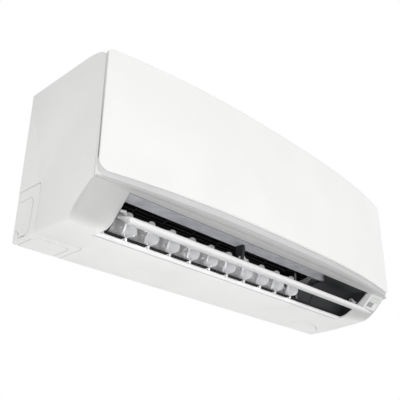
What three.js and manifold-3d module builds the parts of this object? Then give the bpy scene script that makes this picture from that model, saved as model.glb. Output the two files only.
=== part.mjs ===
// Indoor unit of a split air conditioner, in millimetres, +Z up.
// It hangs on a wall plate. X runs along the unit, the wall is the plane y = 0 and the front faces -Y.
// Every piece below is laid out by its place along X, its depth in front of the wall and its height
// above the underside. The origin is the centre of the wall plate's back face.

import * as THREE from 'three';
import { mergeVertices } from 'three/addons/utils/BufferGeometryUtils.js';
import Module from 'manifold-3d';

const wasm = await Module();
wasm.setup();

// Casing
const BODY_WIDTH = 800;
const BODY_HEIGHT = 272;
const END_DEPTH = 200;
const BODY_BOW = 28;
const WALL = 2.8;
const TOP_ROUND_DEPTH = 50;
const TOP_ROUND_HEIGHT = 20;
const EDGE_ROUND = 10;
const TOP_EDGE_ROUND = 4;
const FRONT_FOOT = 50;
const FRONT_OPENING_END = 50;
const FRONT_OPENING_FOOT = 99;
const FRONT_OPENING_DROP = 30;
const GRILLE_SLOT = 9;
const GRILLE_BAR = 5;
const GRILLE_SETBACK = 52;
const GRILLE_BACK_DEPTH = 22;
const GRILLE_MIDDLE_BAR = 14;
const GRILLE_END_MARGIN = 48;

// Outlet in the casing's slope
const LIP_SPAN = 17;
const SLOPE_RUN = 52.5;
const OUTLET_SETBACK = 6.5;
const OUTLET_TOP_HEIGHT = 49;
const OUTLET_END = 66;
const OUTLET_RIGHT_SWEEP = 36;
const LIP_WIDTH = 6;
const LIP_RISE = 4.5;

// Front panel
const PANEL_STAND = 6;
const PANEL_BOW = 35;
const PANEL_FOOT = 58;
const PANEL_FRAME_FOOT = 51.5;
const PANEL_DROP = 8;
const PANEL_GAP = 0.9;
const PANEL_SKIN = 3;
const PANEL_CORNER = 17;
const PANEL_TOP_CORNER = 9;
const PANEL_RIM = 5;
const PANEL_TOP_RIM = 12;
const NOTCH_FOOT = 78;
const NOTCH_HEIGHT = 20;
const NOTCH_REACH = 5;
const PANEL_PIN_RADIUS = 2.4;
const PANEL_PIN_LENGTH = 24;
const PANEL_PIN_SETBACK = 1;
const PANEL_PIN_DROP = 7;
const PANEL_PIN_END = 28;
const PANEL_ARM_WIDTH = 8;

// Wall plate
const PLATE_END = 70;
const PLATE_MARGIN = 23;
const PLATE_SHEET = 1.2;
const PLATE_HOOK_WIDTH = 34;
const PLATE_HOOK_REACH = 6;
const PLATE_HOOK_RISE = 14;
const PLATE_HOOK_INSET = 4;
const PLATE_HOLE_RADIUS = 3.2;
const PLATE_HOLE_PITCH = 100;
const PLATE_SLOT_WIDTH = 60;
const PLATE_SLOT_HEIGHT = 20;

// Chassis
const CHASSIS_WALL = 3;
const CHASSIS_BACK_DEPTH = 8;
const CHASSIS_LEFT_END = 54;
const CHASSIS_RIGHT_END = 186;
const CHASSIS_LEDGE = 14;

// Fan and its drive
const FAN_BACK_GAP = 9;
const FAN_FRONT_GAP = 2.6;
const FAN_BLADE_DEPTH = 10;
const FAN_BLADES = 22;
const FAN_BLADE_SHEET = 1.6;
const FAN_DISC = 3;
const FAN_HEIGHT = 108;
const FAN_SECTIONS = 4;
const FAN_END_GAP = 10;
const FAN_HUB_RADIUS = 13;
const SHAFT_RADIUS = 4;
const BEARING_RADIUS = 12;
const MOTOR_RADIUS = 44;
const MOTOR_LENGTH = 62;
const MOTOR_GAP = 8;
const CLAMP_WIDTH = 16;
const CLAMP_SHEET = 2.5;

// Coil
const COIL_THICKNESS = 24;
const COIL_LEFT_END = 62;
const COIL_RIGHT_END = 142;
const COIL_FOOT_GAP = 0.5;
const TUBE_PLATE = 1.5;
const BEND_TUBE_RADIUS = 3.5;
const BEND_RADIUS = 10.5;
const PIPE_LIQUID_RADIUS = 3.2;
const PIPE_GAS_RADIUS = 4.8;
const PIPE_BEND = 32;
const NUT_GROWTH = 4;
const NUT_LENGTH = 18;
const NUT_SIDES = 6;

// Drain pan, whose underside is the outlet's ceiling
const PAN_LEFT_OVERHANG = 6;
const PAN_RIGHT_OVERHANG = 4;
const PAN_GAP = 5.4;
const PAN_HEIGHT = 41.3;

// Vanes
const VANE_COUNT = 10;
const VANE_END = 45;
const DUCT_END_RUN = 64.1;
const VANE_SHEET = 1.8;
const VANE_TURN_DEG = 32;
const VANE_TILT_DEG = 26.6;
const VANE_SETBACK = 14;
const VANE_FOOT_HEIGHT = 12.5;
const VANE_HEIGHT = 35;
const VANE_FRONT = 18;
const VANE_BACK = 23;
const VANE_PIN_RADIUS = 2;
const VANE_PIN_LENGTH = 5;
const VANE_LUG_RADIUS = 4.2;
const LINK_ARM = 14;
const LINK_PLACE = 30;
const LINK_SHEET = 2;
const LINK_WIDTH = 10;
const LINK_PIN_RADIUS = 1.3;
const BASE_SHEET = 3;
const BASE_WIDTH = 17;
const BASE_FOOT_WIDTH = 4;

// Flap
const FLAP_LEFT_GAP = 1;
const FLAP_RIGHT_OVERHANG = 8;
const FLAP_LEAD_SETBACK = 3;
const FLAP_LEAD_HEIGHT = 7.7;
const FLAP_CHORD = 49;
const FLAP_SLOPE_DEG = 25.5;
const FLAP_LEAD_RADIUS = 6;
const FLAP_TAIL_RADIUS = 1.4;
const FLAP_TAPER = 46;
const FLAP_ARM_SHEET = 4;
const FLAP_ARM_RADIUS = 5.5;
const FLAP_ARM_END = 22;
const FLAP_PIN_RADIUS = 2.5;
const PIVOT_SETBACK = 31;
const PIVOT_HEIGHT = 33;
const BRACKET_SHEET = 5;
const BRACKET_X = 50;
const BRACKET_RADIUS = 6;
const BRACKET_WIDTH = 17;
const STEP_MOTOR_RADIUS = 12;
const STEP_MOTOR_LENGTH = 12;
const FLAP_MOTOR_OFFSET = 8;
const FLAP_END_SETBACK = 14;

// Filters
const FILTER_SHEET = 2.6;
const FILTER_NET = 0.8;
const FILTER_SETBACK = 3;
const FILTER_END = 12;
const FILTER_MIDDLE_GAP = 8;
const FILTER_OVERLAP = 8;
const FILTER_FRAME = 7;
const FILTER_COLUMNS = 4;
const FILTER_ROWS = 3;
const FILTER_RIB = 3;

// Electrical parts
const BOX_END = 100;
const BOX_BACK_DEPTH = 64;
const BOX_SETBACK = 16;
const BOX_FOOT = 74;
const BOX_DROP = 26;
const BOX_WALL = 2.4;
const BOARD_SHEET = 1.6;
const BOARD_MARGIN = 8;
const TERMINAL_WIDTH = 52;
const TERMINAL_HEIGHT = 22;
const TERMINAL_DEPTH = 16;
const COVER_SHEET = 2;

// Display
const DISPLAY_EDGE = 4;
const DISPLAY_WIDTH = 49;
const DISPLAY_RUN = 27;
const DISPLAY_OVERLAP = 1.5;
const DISPLAY_SINK = 6;
const WINDOW_SHEET = 1.6;
const WINDOW_MARGIN = 5;
const BUTTON_SIZE = 6;
const BUTTON_LENGTH = 9;
const BUTTON_END = 34;
const BUTTON_HEIGHT = 84;
const BUTTON_SINK = 2.5;

// Corner cover and knock-outs
const CORNER_SIDE_DEPTH = 63;
const CORNER_SIDE_HEIGHT = 86;
const CORNER_FOOT_WIDTH = 87;
const KNOCK_FOOT_END = 39;
const KNOCK_FOOT_WIDTH = 88;
const KNOCK_FOOT_DEPTH = 47;
const KNOCK_CORNER = 12;
const KNOCK_GAP = 0.4;

// Clearances and mesh fineness
const REST_GAP = 0.3;
const RUN_GAP = 0.6;
const SIDE_PLAY = 1.5;
const OVERRUN = 4;
const ROUND_STEPS = 14;
const SMALL_ROUND_STEPS = 8;
const EDGE_STEPS = 3;
const TUBE_SIDES = 8;
const BOW_STEPS = 12;
const BOW_EXPONENT = 2.6;

// Outlines as shares of the sizes that they follow
const slopeShares = [[0, 0], [0.16, 0.09], [0.345, 0.28], [0.566, 0.53], [0.796, 0.776], [1, 1]];
const outletEndShares = [[1, 0], [0.97, 0.2], [0.86, 0.47], [0.6, 0.72], [0.28, 0.92], [0, 1]];
const scrollShares = [
  [0.3952, 1.587], [0.4435, 1.385], [0.4597, 1.108], [0.4758, 0.856], [0.5565, 0.604],
  [0.6935, 0.39], [0.8468, 0.227], [0.9468, 0.154],
];
const backShares = [[0.08, 0.838], [0.13, 0.541], [0.19, 0.27]];
const endWallShares = [[0.2, -1.1], [0.88, -0.6], [0.88, 0.5], [0, 1.1], [-0.9, 1.1]];
const coilShares = [
  [[0.89, 0], [0.89, 0.446]],
  [[0.865, 0.518], [0.635, 0.848]],
  [[0.535, 0.848], [0.325, 0.532]],
];
const bendShares = [[0.25, 0.45], [0.6, 0.8]];
const pipeShares = [0.06, 0.94];
const pipeDropShares = [0.36, 0.24];
const tieShare = 0.1;
const fanDepthShare = 0.56;
const panLipIndex = 3;
const scrollBackIndex = 2;
const bladeShares = [[1, 0], [0.5, 0.35], [0, 0.42]];
const panelHollowShare = 0.72;
const panFloorShare = 0.263;
const panShares = [
  [0.957, 0], [0.76, 0.04], [0.742, 0.21], [0.772, 0.724], [0.792, 0.724], [0.79, panFloorShare],
  [0.965, 0.237], [0.968, 1], [0.985, 1], [0.985, 0.053],
];
const vaneBackShares = [[-0.2, 1], [-1, 0.94], [-1, 0.3], [-0.55, 0.07], [-0.2, 0.03]];
const vaneFrontShares = [
  [0.2, 0.03], [0.5, 0.12], [0.88, 0.3], [1, 0.46], [0.8, 0.6], [0.5, 0.74], [0.25, 0.88],
];
const crestShares = [[0, 1], [0.3, 0.66], [0.62, 0.3], [1, 0]];
const blankShares = [[0.945, 1.032], [0.8, 1.038], [0.74, 0.916], [0.68, 0.638], [0.627, 0.333]];
const cheekShares = [
  [0.56, 0.389], [0.66, 0.25], [0.695, 0.222], [0.745, 0.361],
  [0.835, 0.638], [0.915, 0.916], [0.9, 1.027], [0.56, 1.055],
];
const flapEndShares = [0.75, 1, 1, 0.72, 0.3];
const flapWaistShares = [-0.62, 0.72];
const flapMiddleShares = [-1.2, 2];
const flapMiddleShare = 0.6;
const flapArmShare = 0.75;
const displaySplitShare = 0.52;
const receiverShare = 0.42;

const halfWidth = BODY_WIDTH / 2;
const outletTop = END_DEPTH - OUTLET_SETBACK;
const slopeFoot = outletTop - SLOPE_RUN;
const lipBack = slopeFoot - LIP_SPAN;
const frontOpeningHalf = halfWidth - FRONT_OPENING_END;
const frontOpeningTop = BODY_HEIGHT - FRONT_OPENING_DROP;
const grilleFront = END_DEPTH - GRILLE_SETBACK;
const outletHalf = halfWidth - OUTLET_END;
const panelEndDepth = END_DEPTH + PANEL_STAND;
const panelTop = BODY_HEIGHT - PANEL_DROP;
const panelPinPlace = halfWidth - PANEL_PIN_END;
const panelPinDepth = END_DEPTH - PANEL_PIN_SETBACK;
const panelPinHeight = panelTop - PANEL_PIN_DROP;
const plateWidth = BODY_WIDTH - PLATE_END * 2;
const plateHeight = BODY_HEIGHT - PLATE_MARGIN * 2;
const chassisLeft = halfWidth - CHASSIS_LEFT_END;
const chassisRight = halfWidth - CHASSIS_RIGHT_END;
const plateHookPlace = chassisRight - PLATE_HOOK_INSET;
const fanDepth = fanDepthShare * END_DEPTH;
const fanLeft = -chassisLeft + REST_GAP + CHASSIS_WALL + FAN_END_GAP;
const fanRight = chassisRight - CHASSIS_WALL - FAN_END_GAP;
const coilLeft = halfWidth - COIL_LEFT_END;
const coilRight = halfWidth - COIL_RIGHT_END;
const panLeft = coilLeft + PAN_LEFT_OVERHANG;
const panRight = coilRight + PAN_RIGHT_OVERHANG;
const panFoot = OUTLET_TOP_HEIGHT + PAN_GAP;
const panTop = panFoot + PAN_HEIGHT;
const coilFoot = panFoot + panFloorShare * PAN_HEIGHT + COIL_FOOT_GAP;
const [panLipDepthShare, panLipHeightShare] = panShares[panLipIndex];
const panLipRun = panLipDepthShare * END_DEPTH - fanDepth;
const panLipDrop = FAN_HEIGHT - panFoot - panLipHeightShare * PAN_HEIGHT;
const fanBackRoom = fanDepth - scrollShares[scrollBackIndex][0] * lipBack - FAN_BACK_GAP;
const fanRadius = Math.min(fanBackRoom, Math.hypot(panLipRun, panLipDrop) - FAN_FRONT_GAP);
const fanInnerRadius = fanRadius - FAN_BLADE_DEPTH;
const vaneFirst = -outletHalf + VANE_END;
const vanePitch = (chassisRight - DUCT_END_RUN - vaneFirst) / (VANE_COUNT - 1 / 2);
const vaneFootDepth = slopeFoot - VANE_SETBACK;
const flapLeadDepth = outletTop - FLAP_LEAD_SETBACK;
const pivotDepth = outletTop - PIVOT_SETBACK;
const flapLeft = outletHalf - FLAP_LEFT_GAP;
const flapRight = outletHalf + FLAP_RIGHT_OVERHANG;
const flapArmPlace = outletHalf - FLAP_ARM_END;
const flapPinLeft = -outletHalf - REST_GAP - CHASSIS_WALL;
const flapPinRight = outletHalf;
const filterHalf = frontOpeningHalf - FILTER_END;
const filterDepth = END_DEPTH - FILTER_SETBACK;
const filterTop = frontOpeningTop + FILTER_OVERLAP;
const boxLeft = halfWidth - BOX_END;
const boxRight = halfWidth - WALL - REST_GAP;
const boxFront = END_DEPTH - BOX_SETBACK;
const boxTop = BODY_HEIGHT - BOX_DROP;
const displayTop = outletTop + DISPLAY_OVERLAP;
const displayFoot = displayTop - DISPLAY_RUN;
const displayRight = halfWidth - DISPLAY_EDGE;
const displayLeft = displayRight - DISPLAY_WIDTH;
const buttonPlace = halfWidth - BUTTON_END;
const knockRight = halfWidth - KNOCK_FOOT_END;
const knockLeft = knockRight - KNOCK_FOOT_WIDTH;
const vaneTilt = THREE.MathUtils.degToRad(VANE_TILT_DEG);
const vaneTurn = THREE.MathUtils.degToRad(VANE_TURN_DEG);
const flapSlope = THREE.MathUtils.degToRad(FLAP_SLOPE_DEG);

// Solids

function toSolid(geometry) {
  const bare = geometry.index ? geometry.toNonIndexed() : geometry.clone();
  for (const name of Object.keys(bare.attributes)) {
    if (name !== 'position') {
      bare.deleteAttribute(name);
    }
  }
  const merged = mergeVertices(bare);
  const mesh = new wasm.Mesh({
    numProp: 3,
    vertProperties: new Float32Array(merged.attributes.position.array),
    triVerts: new Uint32Array(merged.index.array),
  });
  return new wasm.Manifold(mesh);
}

function toGeometry(solid) {
  const mesh = solid.getMesh();
  const geometry = new THREE.BufferGeometry();
  geometry.setAttribute('position', new THREE.BufferAttribute(new Float32Array(mesh.vertProperties), 3));
  geometry.setIndex(new THREE.BufferAttribute(new Uint32Array(mesh.triVerts), 1));
  return geometry;
}

function join(...solids) {
  return solids.reduce((sum, solid) => sum.add(solid));
}

function cut(solid, ...tools) {
  return tools.reduce((rest, tool) => rest.subtract(tool), solid);
}

// A block between two places along X, two depths and two heights.
function block(left, right, back, front, foot, top) {
  const geometry = new THREE.BoxGeometry(right - left, front - back, top - foot);
  geometry.translate((left + right) / 2, -(back + front) / 2, (foot + top) / 2);
  return toSolid(geometry);
}

function shapeOf(points) {
  return new THREE.Shape(points.map(([u, v]) => new THREE.Vector2(u, v)));
}

// An outline of [depth, height] points, run along X.
function alongX(points, left, right) {
  const geometry = new THREE.ExtrudeGeometry(shapeOf(points), {
    depth: right - left,
    bevelEnabled: false,
  });
  const basis = new THREE.Matrix4().makeBasis(
    new THREE.Vector3(0, -1, 0),
    new THREE.Vector3(0, 0, 1),
    new THREE.Vector3(-1, 0, 0),
  );
  geometry.applyMatrix4(basis);
  geometry.translate(right, 0, 0);
  return toSolid(geometry);
}

// An outline of [x, depth] points, run upward.
function upward(points, foot, top) {
  const shape = shapeOf(points.map(([x, depth]) => [x, -depth]));
  const geometry = new THREE.ExtrudeGeometry(shape, { depth: top - foot, bevelEnabled: false });
  geometry.translate(0, 0, foot);
  return toSolid(geometry);
}

// An outline of [x, height] points, run forward between two depths.
function forward(points, back, front) {
  const geometry = new THREE.ExtrudeGeometry(shapeOf(points), { depth: front - back, bevelEnabled: false });
  geometry.rotateX(Math.PI / 2);
  geometry.translate(0, -back, 0);
  return toSolid(geometry);
}

// A round bar along X.
function barX(depth, height, radius, left, right, steps = ROUND_STEPS) {
  const geometry = new THREE.CylinderGeometry(radius, radius, right - left, steps);
  geometry.rotateZ(Math.PI / 2);
  geometry.translate((left + right) / 2, -depth, height);
  return toSolid(geometry);
}

// A round bar from front to back.
function barY(x, height, radius, back, front, steps = ROUND_STEPS) {
  const geometry = new THREE.CylinderGeometry(radius, radius, front - back, steps);
  geometry.translate(x, -(back + front) / 2, height);
  return toSolid(geometry);
}

// A body through one outline of [depth, height] points at each place along X.
function loft(places, outlineAt) {
  const flat = (ring) => ring.map(([, y, z]) => new THREE.Vector2(-y, z));
  const rings = places.map((x) => outlineAt(x).map(([depth, height]) => [x, -depth, height]));
  if (THREE.ShapeUtils.isClockWise(flat(rings[0]))) {
    rings.forEach((ring) => ring.reverse());
  }
  const count = rings[0].length;
  const positions = rings.flat(2);
  const faces = [];
  for (let ring = 0; ring + 1 < rings.length; ring += 1) {
    for (let i = 0; i < count; i += 1) {
      const next = (i + 1) % count;
      const a = ring * count + i;
      const b = ring * count + next;
      const c = a + count;
      const d = b + count;
      faces.push(a, d, b, a, c, d);
    }
  }
  const last = (rings.length - 1) * count;
  for (const [p, q, r] of THREE.ShapeUtils.triangulateShape(flat(rings[0]), [])) {
    faces.push(p, q, r);
  }
  for (const [p, q, r] of THREE.ShapeUtils.triangulateShape(flat(rings[rings.length - 1]), [])) {
    faces.push(last + r, last + q, last + p);
  }
  const geometry = new THREE.BufferGeometry();
  geometry.setAttribute('position', new THREE.Float32BufferAttribute(positions, 3));
  geometry.setIndex(faces);
  return toSolid(geometry);
}

// An open line of points moved to its left by a distance.
function moved(line, distance) {
  return line.map((point, i) => {
    const before = line[Math.max(i - 1, 0)];
    const after = line[Math.min(i + 1, line.length - 1)];
    const run = Math.hypot(after[0] - before[0], after[1] - before[1]);
    return [
      point[0] - (distance * (after[1] - before[1])) / run,
      point[1] + (distance * (after[0] - before[0])) / run,
    ];
  });
}

// A wall of even thickness along an open line of points, grown to the line's left.
function ribbon(line, thickness) {
  return [...line, ...moved(line, thickness).reverse()];
}

function shares(table, depth, height) {
  return table.map(([u, v]) => [u * depth, v * height]);
}

// Casing: one outline for each place along X, drawn in by an inset for its inner face

// How far a quarter-round edge draws the surface in at place x, near the end of a body.
function edgeDrop(x, half, round) {
  const into = Math.max(0, Math.abs(x) - (half - round));
  return round - Math.sqrt(Math.max(0, round * round - into * into));
}

function bow(x, amount) {
  return amount * (1 - (Math.abs(x) / halfWidth) ** BOW_EXPONENT);
}

// Places along X, closer together in the rounded ends.
function placesAlong(half, round) {
  const places = [];
  for (let i = 0; i < EDGE_STEPS; i += 1) {
    places.push(-half + round * (1 - Math.cos((i / EDGE_STEPS) * (Math.PI / 2))));
  }
  const inner = half - round;
  for (let i = 0; i <= BOW_STEPS; i += 1) {
    places.push(-inner * Math.cos((i / BOW_STEPS) * Math.PI));
  }
  for (let i = EDGE_STEPS - 1; i >= 0; i -= 1) {
    places.push(half - round * (1 - Math.cos((i / EDGE_STEPS) * (Math.PI / 2))));
  }
  return places;
}

function slopeLine() {
  return slopeShares.map(([u, v]) => [slopeFoot + u * SLOPE_RUN, v * OUTLET_TOP_HEIGHT]);
}

function casingOutline(x, inset) {
  const half = halfWidth - inset;
  const round = Math.max(EDGE_ROUND - inset, WALL);
  const front = END_DEPTH + bow(x, BODY_BOW) - inset;
  const lowest = inset + edgeDrop(x, half, round);
  const highest = BODY_HEIGHT - inset - edgeDrop(x, half, TOP_EDGE_ROUND);
  const points = [[0, 0], [lipBack, 0]];
  for (const [depth, height] of slopeLine()) {
    points.push([depth - inset, height + inset]);
  }
  points.push([front, FRONT_FOOT + inset]);
  for (let i = 0; i <= EDGE_STEPS; i += 1) {
    const angle = (i / EDGE_STEPS) * (Math.PI / 2);
    points.push([
      front - TOP_ROUND_DEPTH * (1 - Math.cos(angle)),
      BODY_HEIGHT - inset - TOP_ROUND_HEIGHT * (1 - Math.sin(angle)),
    ]);
  }
  points.push([0, BODY_HEIGHT - inset]);
  const back = inset > 0 ? -OVERRUN : 0;
  return points.map(([depth, height]) => [
    depth === 0 ? back : depth,
    Math.min(Math.max(height, lowest), highest),
  ]);
}

function casingBody(inset) {
  const round = Math.max(EDGE_ROUND - inset, WALL);
  return loft(placesAlong(halfWidth - inset, round), (x) => casingOutline(x, inset));
}

// The outlet's plan: straight along the lip and the upper edge, its right end swept back to the lip.
function outletPlan(grow) {
  const left = -outletHalf - grow;
  const right = outletHalf + grow;
  const plan = [[left, outletTop + grow], [left, lipBack]];
  for (const [u, v] of outletEndShares.slice().reverse()) {
    const depth = outletTop - v * (outletTop - slopeFoot);
    plan.push([right - (1 - u) * OUTLET_RIGHT_SWEEP, v === 1 ? lipBack : depth]);
  }
  plan[plan.length - 1][1] = outletTop + grow;
  return plan;
}

function grilleSlots() {
  const pitch = GRILLE_SLOT + GRILLE_BAR;
  const end = halfWidth - GRILLE_END_MARGIN;
  const slots = [];
  for (let back = GRILLE_BACK_DEPTH; back + GRILLE_SLOT <= grilleFront; back += pitch) {
    const foot = BODY_HEIGHT - WALL - OVERRUN;
    slots.push(block(-end, -GRILLE_MIDDLE_BAR / 2, back, back + GRILLE_SLOT, foot, BODY_HEIGHT + OVERRUN));
    slots.push(block(GRILLE_MIDDLE_BAR / 2, end, back, back + GRILLE_SLOT, foot, BODY_HEIGHT + OVERRUN));
  }
  return slots;
}

function filterSpan(side) {
  const inner = FILTER_MIDDLE_GAP / 2;
  return side < 0 ? [-filterHalf, -inner] : [inner, filterHalf];
}

function filterSlot(side) {
  const [left, right] = filterSpan(side);
  return block(
    left - SIDE_PLAY,
    right + SIDE_PLAY,
    filterDepth - SIDE_PLAY,
    filterDepth + FILTER_SHEET + SIDE_PLAY,
    frontOpeningTop,
    BODY_HEIGHT + OVERRUN,
  );
}

// The corner cover is a bite of the casing's own shell, over the side and the underside.
function cornerBite(gap) {
  const side = block(
    -halfWidth - OVERRUN, -halfWidth + EDGE_ROUND,
    -OVERRUN, CORNER_SIDE_DEPTH - gap, -OVERRUN, CORNER_SIDE_HEIGHT - gap,
  );
  const foot = block(
    -halfWidth - OVERRUN, -halfWidth + CORNER_FOOT_WIDTH - gap,
    -OVERRUN, CORNER_SIDE_DEPTH - gap, -OVERRUN, EDGE_ROUND + OVERRUN,
  );
  return join(side, foot);
}

function knockPlan(gap) {
  const left = knockLeft + gap;
  const right = knockRight - gap;
  const front = KNOCK_FOOT_DEPTH - gap;
  return [
    [left, -OVERRUN], [left, front - KNOCK_CORNER], [left + KNOCK_CORNER, front],
    [right - KNOCK_CORNER, front], [right, front - KNOCK_CORNER], [right, -OVERRUN],
  ];
}

function knockBite(gap) {
  return upward(knockPlan(gap), -OVERRUN, EDGE_ROUND);
}

function shell() {
  return cut(casingBody(0), casingBody(WALL));
}

function panelPinSeat(side) {
  const x = side * panelPinPlace;
  const reach = PANEL_PIN_LENGTH / 2 + REST_GAP;
  const wall = PANEL_PIN_RADIUS + WALL;
  const boss = block(
    x - reach - WALL, x + reach + WALL,
    panelPinDepth - wall, panelPinDepth + wall, panelPinHeight - wall, panelPinHeight + wall,
  ).intersect(casingBody(0));
  const bore = barX(
    panelPinDepth, panelPinHeight, PANEL_PIN_RADIUS + REST_GAP, x - reach, x + reach, SMALL_ROUND_STEPS,
  );
  const gate = block(
    x - PANEL_ARM_WIDTH / 2 - RUN_GAP, x + PANEL_ARM_WIDTH / 2 + RUN_GAP,
    panelPinDepth - wall - REST_GAP, END_DEPTH + BODY_BOW,
    panelPinHeight - wall - REST_GAP, BODY_HEIGHT + OVERRUN,
  );
  return { boss, bore, gate };
}

function buttonHole() {
  const half = BUTTON_SIZE / 2 + RUN_GAP;
  return block(
    buttonPlace - half, buttonPlace + half,
    END_DEPTH - TOP_ROUND_DEPTH, END_DEPTH + BODY_BOW, BUTTON_HEIGHT - half, BUTTON_HEIGHT + half,
  );
}

// The slope's inward direction, as [depth, height].
function slopeInward() {
  const run = Math.hypot(SLOPE_RUN, OUTLET_TOP_HEIGHT);
  return [-OUTLET_TOP_HEIGHT / run, SLOPE_RUN / run];
}

// A prism on the slope between two depths, from outside the slope down to a sink below it.
function slopeBlock(left, right, backDepth, frontDepth, rise, sink) {
  const line = [];
  const onSlope = (depth) => ((depth - slopeFoot) / SLOPE_RUN) * OUTLET_TOP_HEIGHT;
  const [inDepth, inHeight] = slopeInward();
  line.push([backDepth - rise * inDepth, onSlope(backDepth) - rise * inHeight]);
  line.push([frontDepth - rise * inDepth, onSlope(frontDepth) - rise * inHeight]);
  line.push([frontDepth + sink * inDepth, onSlope(frontDepth) + sink * inHeight]);
  line.push([backDepth + sink * inDepth, onSlope(backDepth) + sink * inHeight]);
  return alongX(line, left, right);
}

function displayBlock(gap, rise, sink) {
  return slopeBlock(
    displayLeft + gap, displayRight - gap, displayFoot + gap, displayTop - gap, rise, sink,
  );
}

function casing() {
  const openFront = block(
    -frontOpeningHalf, frontOpeningHalf,
    END_DEPTH - TOP_ROUND_DEPTH, END_DEPTH + BODY_BOW + OVERRUN, FRONT_OPENING_FOOT, frontOpeningTop,
  );
  const outlet = upward(outletPlan(0), -OVERRUN, OUTLET_TOP_HEIGHT);
  const seats = [panelPinSeat(-1), panelPinSeat(1)];
  const body = join(shell(), ...seats.map((seat) => seat.boss));
  return cut(
    body,
    openFront,
    outlet,
    ...grilleSlots(),
    filterSlot(-1),
    filterSlot(1),
    cornerBite(0),
    knockBite(0),
    displayBlock(-REST_GAP, OVERRUN, DISPLAY_SINK + OVERRUN),
    buttonHole(),
    ...seats.map((seat) => seat.gate),
    ...seats.map((seat) => seat.bore),
  );
}

function cornerCover() {
  return shell().intersect(cornerBite(KNOCK_GAP));
}

function knockPlate() {
  return shell().intersect(knockBite(KNOCK_GAP));
}

// Front panel

function panelOutline(x) {
  const back = END_DEPTH + bow(x, BODY_BOW) + PANEL_GAP;
  const full = panelEndDepth + bow(x, PANEL_BOW);
  const front = Math.max(full - edgeDrop(x, halfWidth, PANEL_RIM), back + PANEL_GAP);
  const cornerDrop = edgeDrop(x, halfWidth, PANEL_CORNER);
  const foot = PANEL_FOOT + cornerDrop;
  const top = panelTop - edgeDrop(x, halfWidth, PANEL_TOP_CORNER);
  const rim = Math.min(PANEL_RIM, front - back - PANEL_GAP / 2);
  const topRim = Math.min(PANEL_TOP_RIM, front - back - PANEL_GAP / 2);
  const points = [[back, PANEL_FRAME_FOOT + cornerDrop]];
  for (let i = 0; i <= EDGE_STEPS; i += 1) {
    const angle = (i / EDGE_STEPS) * (Math.PI / 2);
    points.push([front - rim * (1 - Math.sin(angle)), foot + PANEL_RIM * (1 - Math.cos(angle))]);
  }
  for (let i = 0; i <= EDGE_STEPS; i += 1) {
    const angle = (i / EDGE_STEPS) * (Math.PI / 2);
    points.push([front - topRim * (1 - Math.cos(angle)), top - PANEL_TOP_RIM * (1 - Math.sin(angle))]);
  }
  points.push([back, top]);
  return points;
}

// The hollow behind the panel's skin, where the panel is thick enough for one.
function panelHollow() {
  const half = halfWidth * panelHollowShare;
  const places = [];
  for (let i = 0; i <= BOW_STEPS; i += 1) {
    places.push(-half * Math.cos((i / BOW_STEPS) * Math.PI));
  }
  return loft(places, (x) => {
    const back = END_DEPTH + bow(x, BODY_BOW) + PANEL_GAP;
    const front = panelEndDepth + bow(x, PANEL_BOW) - PANEL_SKIN;
    const foot = PANEL_FOOT + PANEL_RIM + PANEL_SKIN;
    const top = panelTop - PANEL_TOP_RIM - PANEL_SKIN;
    return [[back - OVERRUN, foot], [front, foot], [front, top], [back - OVERRUN, top]];
  });
}

function panelArm(side) {
  const x = side * panelPinPlace;
  const pin = barX(
    panelPinDepth, panelPinHeight, PANEL_PIN_RADIUS,
    x - PANEL_PIN_LENGTH / 2, x + PANEL_PIN_LENGTH / 2, SMALL_ROUND_STEPS,
  );
  const arm = block(
    x - PANEL_ARM_WIDTH / 2, x + PANEL_ARM_WIDTH / 2,
    panelPinDepth - PANEL_PIN_RADIUS, panelEndDepth + bow(x, PANEL_BOW) - PANEL_GAP,
    panelPinHeight - PANEL_PIN_RADIUS, panelPinHeight + PANEL_PIN_RADIUS,
  );
  return join(pin, arm);
}

function fingerNotch(side) {
  const rim = panelEndDepth + bow(halfWidth - NOTCH_REACH, PANEL_BOW);
  const outer = side * (halfWidth + OVERRUN);
  const inner = side * (halfWidth - NOTCH_REACH);
  return block(
    Math.min(outer, inner), Math.max(outer, inner),
    END_DEPTH - OVERRUN, (END_DEPTH + rim) / 2, NOTCH_FOOT, NOTCH_FOOT + NOTCH_HEIGHT,
  );
}

function frontPanel() {
  const places = placesAlong(halfWidth, PANEL_CORNER);
  const plate = cut(loft(places, panelOutline), panelHollow(), fingerNotch(-1), fingerNotch(1));
  return join(plate, panelArm(-1), panelArm(1));
}

// Wall plate

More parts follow.
